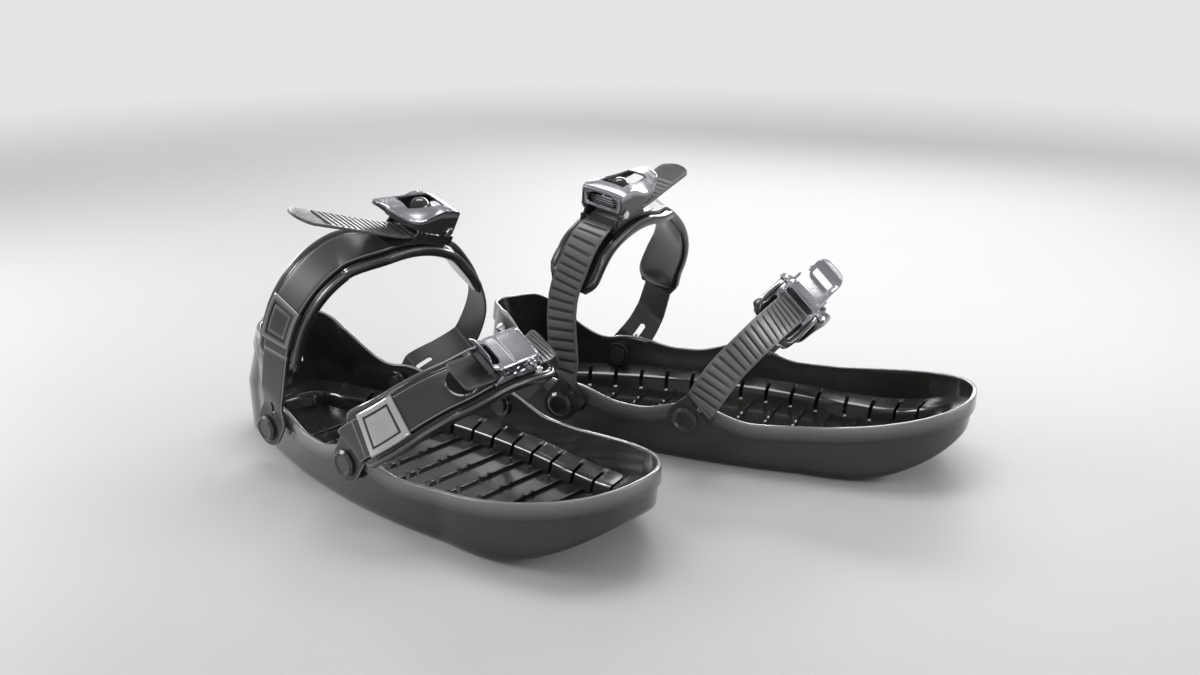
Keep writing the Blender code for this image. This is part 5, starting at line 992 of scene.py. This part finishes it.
def make_toe_lever(side, finishes):
    """Satin toe lever: turned-down front, flat top, U-shaped window and a curled lip.

    A section table flows along the lever, and each section is a crown between two turned edges.
    """
    key = np.linspace(0.0, 1.0, len(TOE_LEVER))
    u = np.unique(np.concatenate([np.linspace(0.0, 1.0, 61), key]))
    t, middle, edge, half = (np.interp(u, key, TOE_LEVER[:, k]) for k in range(4))
    short = TOE_WINDOW_CORNER - np.clip(np.minimum(TOE_WINDOW_FRONT - t, TOE_WINDOW_CORNER), 0.0, None)
    window = np.sqrt(np.clip(TOE_WINDOW_CORNER ** 2 - short ** 2, 0.0, None))
    window = np.where((t < TOE_WINDOW_FRONT) & (t > TOE_WINDOW_BACK), window, 0.0)
    window = (TOE_WINDOW_HALF - TOE_WINDOW_CORNER + window)[:, None]
    right = window + (half[:, None] - window) * np.array([0.0, 0.15, 0.5, 0.85, 0.96, 1.0])
    w = np.concatenate([-right[:, ::-1], window * np.array([-0.5, 0.0, 0.5]), right], axis=1)
    share = np.abs(w) / half[:, None]
    n = middle[:, None] + (edge - middle)[:, None] * share ** 4 - 0.0007 * smooth((share - 0.93) / 0.07)
    rows = np.repeat(t[:, None], w.shape[1], axis=1)
    slope_t, slope_n = np.gradient(t), np.gradient(middle)
    length = np.maximum(np.hypot(slope_t, slope_n), 1e-9)
    down = np.where(slope_t > 0.0, -TOE_LEVER_PLATE, TOE_LEVER_PLATE) / length
    down_t, down_n = (down * slope_n)[:, None], (down * slope_t)[:, None]
    down_t[:2], down_n[:2] = -TOE_LEVER_PLATE, 0.0
    inside = (t <= TOE_WINDOW_FRONT) & (t >= TOE_WINDOW_BACK)
    hole = np.zeros((len(t) - 1, w.shape[1] - 1), bool)
    hole[:, 5:9] = (inside[:-1] & inside[1:])[:, None]
    parts = [shell(np.stack([rows, w, n], -1), np.stack([rows + down_t, w, n + down_n], -1), hole)]
    for sign in (-1.0, 1.0):
        parts.append(lathe([(0.0040, sign * 0.0114), (0.0040, sign * 0.0127), (0.0036, sign * 0.0131)],
                           (PIVOT_T, 0.0100)))
        parts.append(bar((0.0100, sign * 0.0122, 0.0132), (0.0110, 0.0014, 0.0070)))
    shades = [np.full(len(points), 0.85) for points, _ in parts]
    return dress(side, "toe", "lever_looks", parts, finishes["buckle_lever"], "lever", "buckle_lever",
                 "buckle_lever", Loop(side, "toe"), shades=shades)


def make_toe_disc(side, finishes):
    """Bright dished disc set slightly into the base strap beside the toe buckle."""
    loop = Loop(side, "toe")
    disc = button(loop, loop.buckle_at - DISC_BEFORE_BUCKLE, DISC_RADIUS, STRAP_THICKNESS - 0.0002,
                  STRAP_THICKNESS + 0.0014, DISC_TURNS)
    return dress(side, "toe", "disc", [disc], finishes["chrome"], "strap", "buckle_screw")


def finish_cad(finishes):
    """Better materials on the sub-parts whose own shape is right."""
    chosen = {"rivet_medial": "rivet", "rivet_lateral": "rivet", "ankle_buckle_base": "buckle_base",
              "toe_buckle_base": "toe_base", "buckle_screw": "steel", "lever_pin": "chrome",
              "release_lever": "release_lever", "drive_pawl": "steel", "release_pin": "steel",
              "release_spring": "steel"}
    for name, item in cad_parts.items():
        for ending, finish in chosen.items():
            if name.endswith(ending):
                for place in item.material_slots:
                    place.material = finishes[finish]


def make_area_light(name, at, size, power, aim):
    """Soft lamp that looks at a point."""
    lamp = bpy.data.lights.new(name, 'AREA')
    lamp.shape, lamp.size, lamp.size_y, lamp.energy = 'RECTANGLE', size[0], size[1], power
    item = bpy.data.objects.new(name, lamp)
    bpy.context.collection.objects.link(item)
    item.location = at
    item.rotation_euler = (Vector(aim) - Vector(at)).to_track_quat('-Z', 'Y').to_euler()


def make_stage(detail):
    """Pale floor, soft studio light and the camera where the photograph was taken."""
    half = 12.0
    mesh = bpy.data.meshes.new("floor")
    mesh.from_pydata([(x * half, y * half, 0.0) for x, y in ((-1, -1), (1, -1), (1, 1), (-1, 1))], [],
                     [(0, 1, 2, 3)])
    mesh.materials.append(floor_finish())
    floor = bpy.data.objects.new("floor", mesh)
    bpy.context.collection.objects.link(floor)
    floor.location.z = -0.0002
    world = bpy.data.worlds.new("studio")
    world.use_nodes = True
    nodes, links = world.node_tree.nodes, world.node_tree.links
    sky, backdrop, choice, path = (nodes["Background"], nodes.new("ShaderNodeBackground"),
                                   nodes.new("ShaderNodeMixShader"), nodes.new("ShaderNodeLightPath"))
    sky.inputs["Color"].default_value = (0.80, 0.81, 0.84, 1.0)
    sky.inputs["Strength"].default_value = detail.world_strength
    backdrop.inputs["Color"].default_value = (0.78, 0.78, 0.78, 1.0)
    links.new(path.outputs["Is Camera Ray"], choice.inputs[0])
    links.new(sky.outputs[0], choice.inputs[1])
    links.new(backdrop.outputs[0], choice.inputs[2])
    links.new(choice.outputs[0], nodes["World Output"].inputs["Surface"])
    bpy.context.scene.world = world
    for name, at, size, power, aim_height in (
            ("top_soft", (-0.20, 0.30, 1.30), (0.9, 0.5), 9.0, 0.05),
            ("left_strip", (-0.95, -0.35, 0.55), (0.9, 0.16), 9.0, 0.08),
            ("back_strip", (-0.25, 1.15, 0.50), (1.2, 0.16), 9.0, 0.08),
            ("right_strip", (1.05, 0.45, 0.50), (0.8, 0.14), 6.0, 0.06),
            ("front_strip", (0.55, -1.35, 0.28), (1.3, 0.12), 4.5, 0.03)):
        make_area_light(name, at, size, power, (0.0, 0.0, aim_height))
    camera = bpy.data.cameras.new("photo_camera")
    camera.lens = detail.lens_mm
    camera.sensor_width = 36.0
    camera.clip_start = 0.02
    item = bpy.data.objects.new("photo_camera", camera)
    bpy.context.collection.objects.link(item)
    item.rotation_euler = (math.radians(70.92), 0.0, math.radians(32.216))
    item.location = ski_matrix("right").translation + Vector((0.7337, -0.6814, 0.3942))
    bpy.context.scene.camera = item
    bpy.context.scene.view_settings.view_transform = 'Standard'


class MiniSkiDetail(bpy.types.PropertyGroup):
    """Settings that the pieces and the stage share."""

    edge_angle_deg: bpy.props.FloatProperty(
        name="Tray edge angle", description="Edges of the tray sharper than this stay sharp, in degrees",
        default=40.0, min=5.0, max=90.0)
    lens_mm: bpy.props.FloatProperty(
        name="Lens", description="Focal length of the stage camera", default=39.0, min=15.0, max=200.0,
        unit='CAMERA')
    world_strength: bpy.props.FloatProperty(
        name="Sky strength", description="Strength of the even light from all round", default=0.55, min=0.0,
        max=2.0, subtype='FACTOR')


def finishes_now():
    """Finishes by name, made once and found again afterwards."""
    if "tray" not in MADE:
        MADE.update(make_finishes())
    return MADE


MADE = {}


class MINISKI_OT_trays(bpy.types.Operator):
    """Build both trays with their ledges, ribs and heel windows"""
    bl_idname = "miniski.trays"
    bl_label = "Build trays"

    def execute(self, context):
        for side in SIDES:
            make_tray(side, finishes_now(), context.scene.mini_ski_detail)
        return {'FINISHED'}


class MINISKI_OT_straps(bpy.types.Operator):
    """Build the base straps, toothed straps, pads and keepers"""
    bl_idname = "miniski.straps"
    bl_label = "Build straps"

    def execute(self, context):
        for side in SIDES:
            for place in PLACES:
                for maker in (make_base_strap, make_ladder, make_pad, make_keeper):
                    maker(side, place, finishes_now())
        return {'FINISHED'}


class MINISKI_OT_buckles(bpy.types.Operator):
    """Build the ankle levers with their inserts and the toe discs"""
    bl_idname = "miniski.buckles"
    bl_label = "Build buckles"

    def execute(self, context):
        for side in SIDES:
            make_ankle_lever(side, finishes_now())
            make_lever_inserts(side, finishes_now())
            make_toe_lever(side, finishes_now())
            make_toe_disc(side, finishes_now())
        return {'FINISHED'}


class MINISKI_OT_finishes(bpy.types.Operator):
    """Give the remaining sub-parts their finishes"""
    bl_idname = "miniski.finishes"
    bl_label = "Assign finishes"

    def execute(self, context):
        finish_cad(finishes_now())
        return {'FINISHED'}


class MINISKI_OT_stage(bpy.types.Operator):
    """Set the pale floor, the lights and the camera"""
    bl_idname = "miniski.stage"
    bl_label = "Set the stage"

    def execute(self, context):
        make_stage(context.scene.mini_ski_detail)
        return {'FINISHED'}


class MINISKI_PT_panel(bpy.types.Panel):
    """Buttons and settings in the sidebar"""
    bl_idname = "MINISKI_PT_panel"
    bl_label = "Mini skis"
    bl_space_type = 'VIEW_3D'
    bl_region_type = 'UI'
    bl_category = "Mini skis"

    def draw(self, context):
        detail = context.scene.mini_ski_detail
        for name in ("edge_angle_deg", "lens_mm", "world_strength"):
            self.layout.prop(detail, name)
        for operator in OPERATORS:
            self.layout.operator(operator.bl_idname)


OPERATORS = (MINISKI_OT_trays, MINISKI_OT_straps, MINISKI_OT_buckles, MINISKI_OT_finishes, MINISKI_OT_stage)
CLASSES = (MiniSkiDetail, *OPERATORS, MINISKI_PT_panel)


def register():
    for item in CLASSES:
        bpy.utils.register_class(item)
    bpy.types.Scene.mini_ski_detail = bpy.props.PointerProperty(type=MiniSkiDetail)


def unregister():
    del bpy.types.Scene.mini_ski_detail
    for item in reversed(CLASSES):
        bpy.utils.unregister_class(item)


def main():
    """Build everything in order."""
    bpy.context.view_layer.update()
    register()
    for name in ("trays", "straps", "buckles", "finishes", "stage"):
        if getattr(bpy.ops.miniski, name)() != {'FINISHED'}:
            raise RuntimeError(f"{name} could not be finished")


if __name__ == "__main__":
    main()
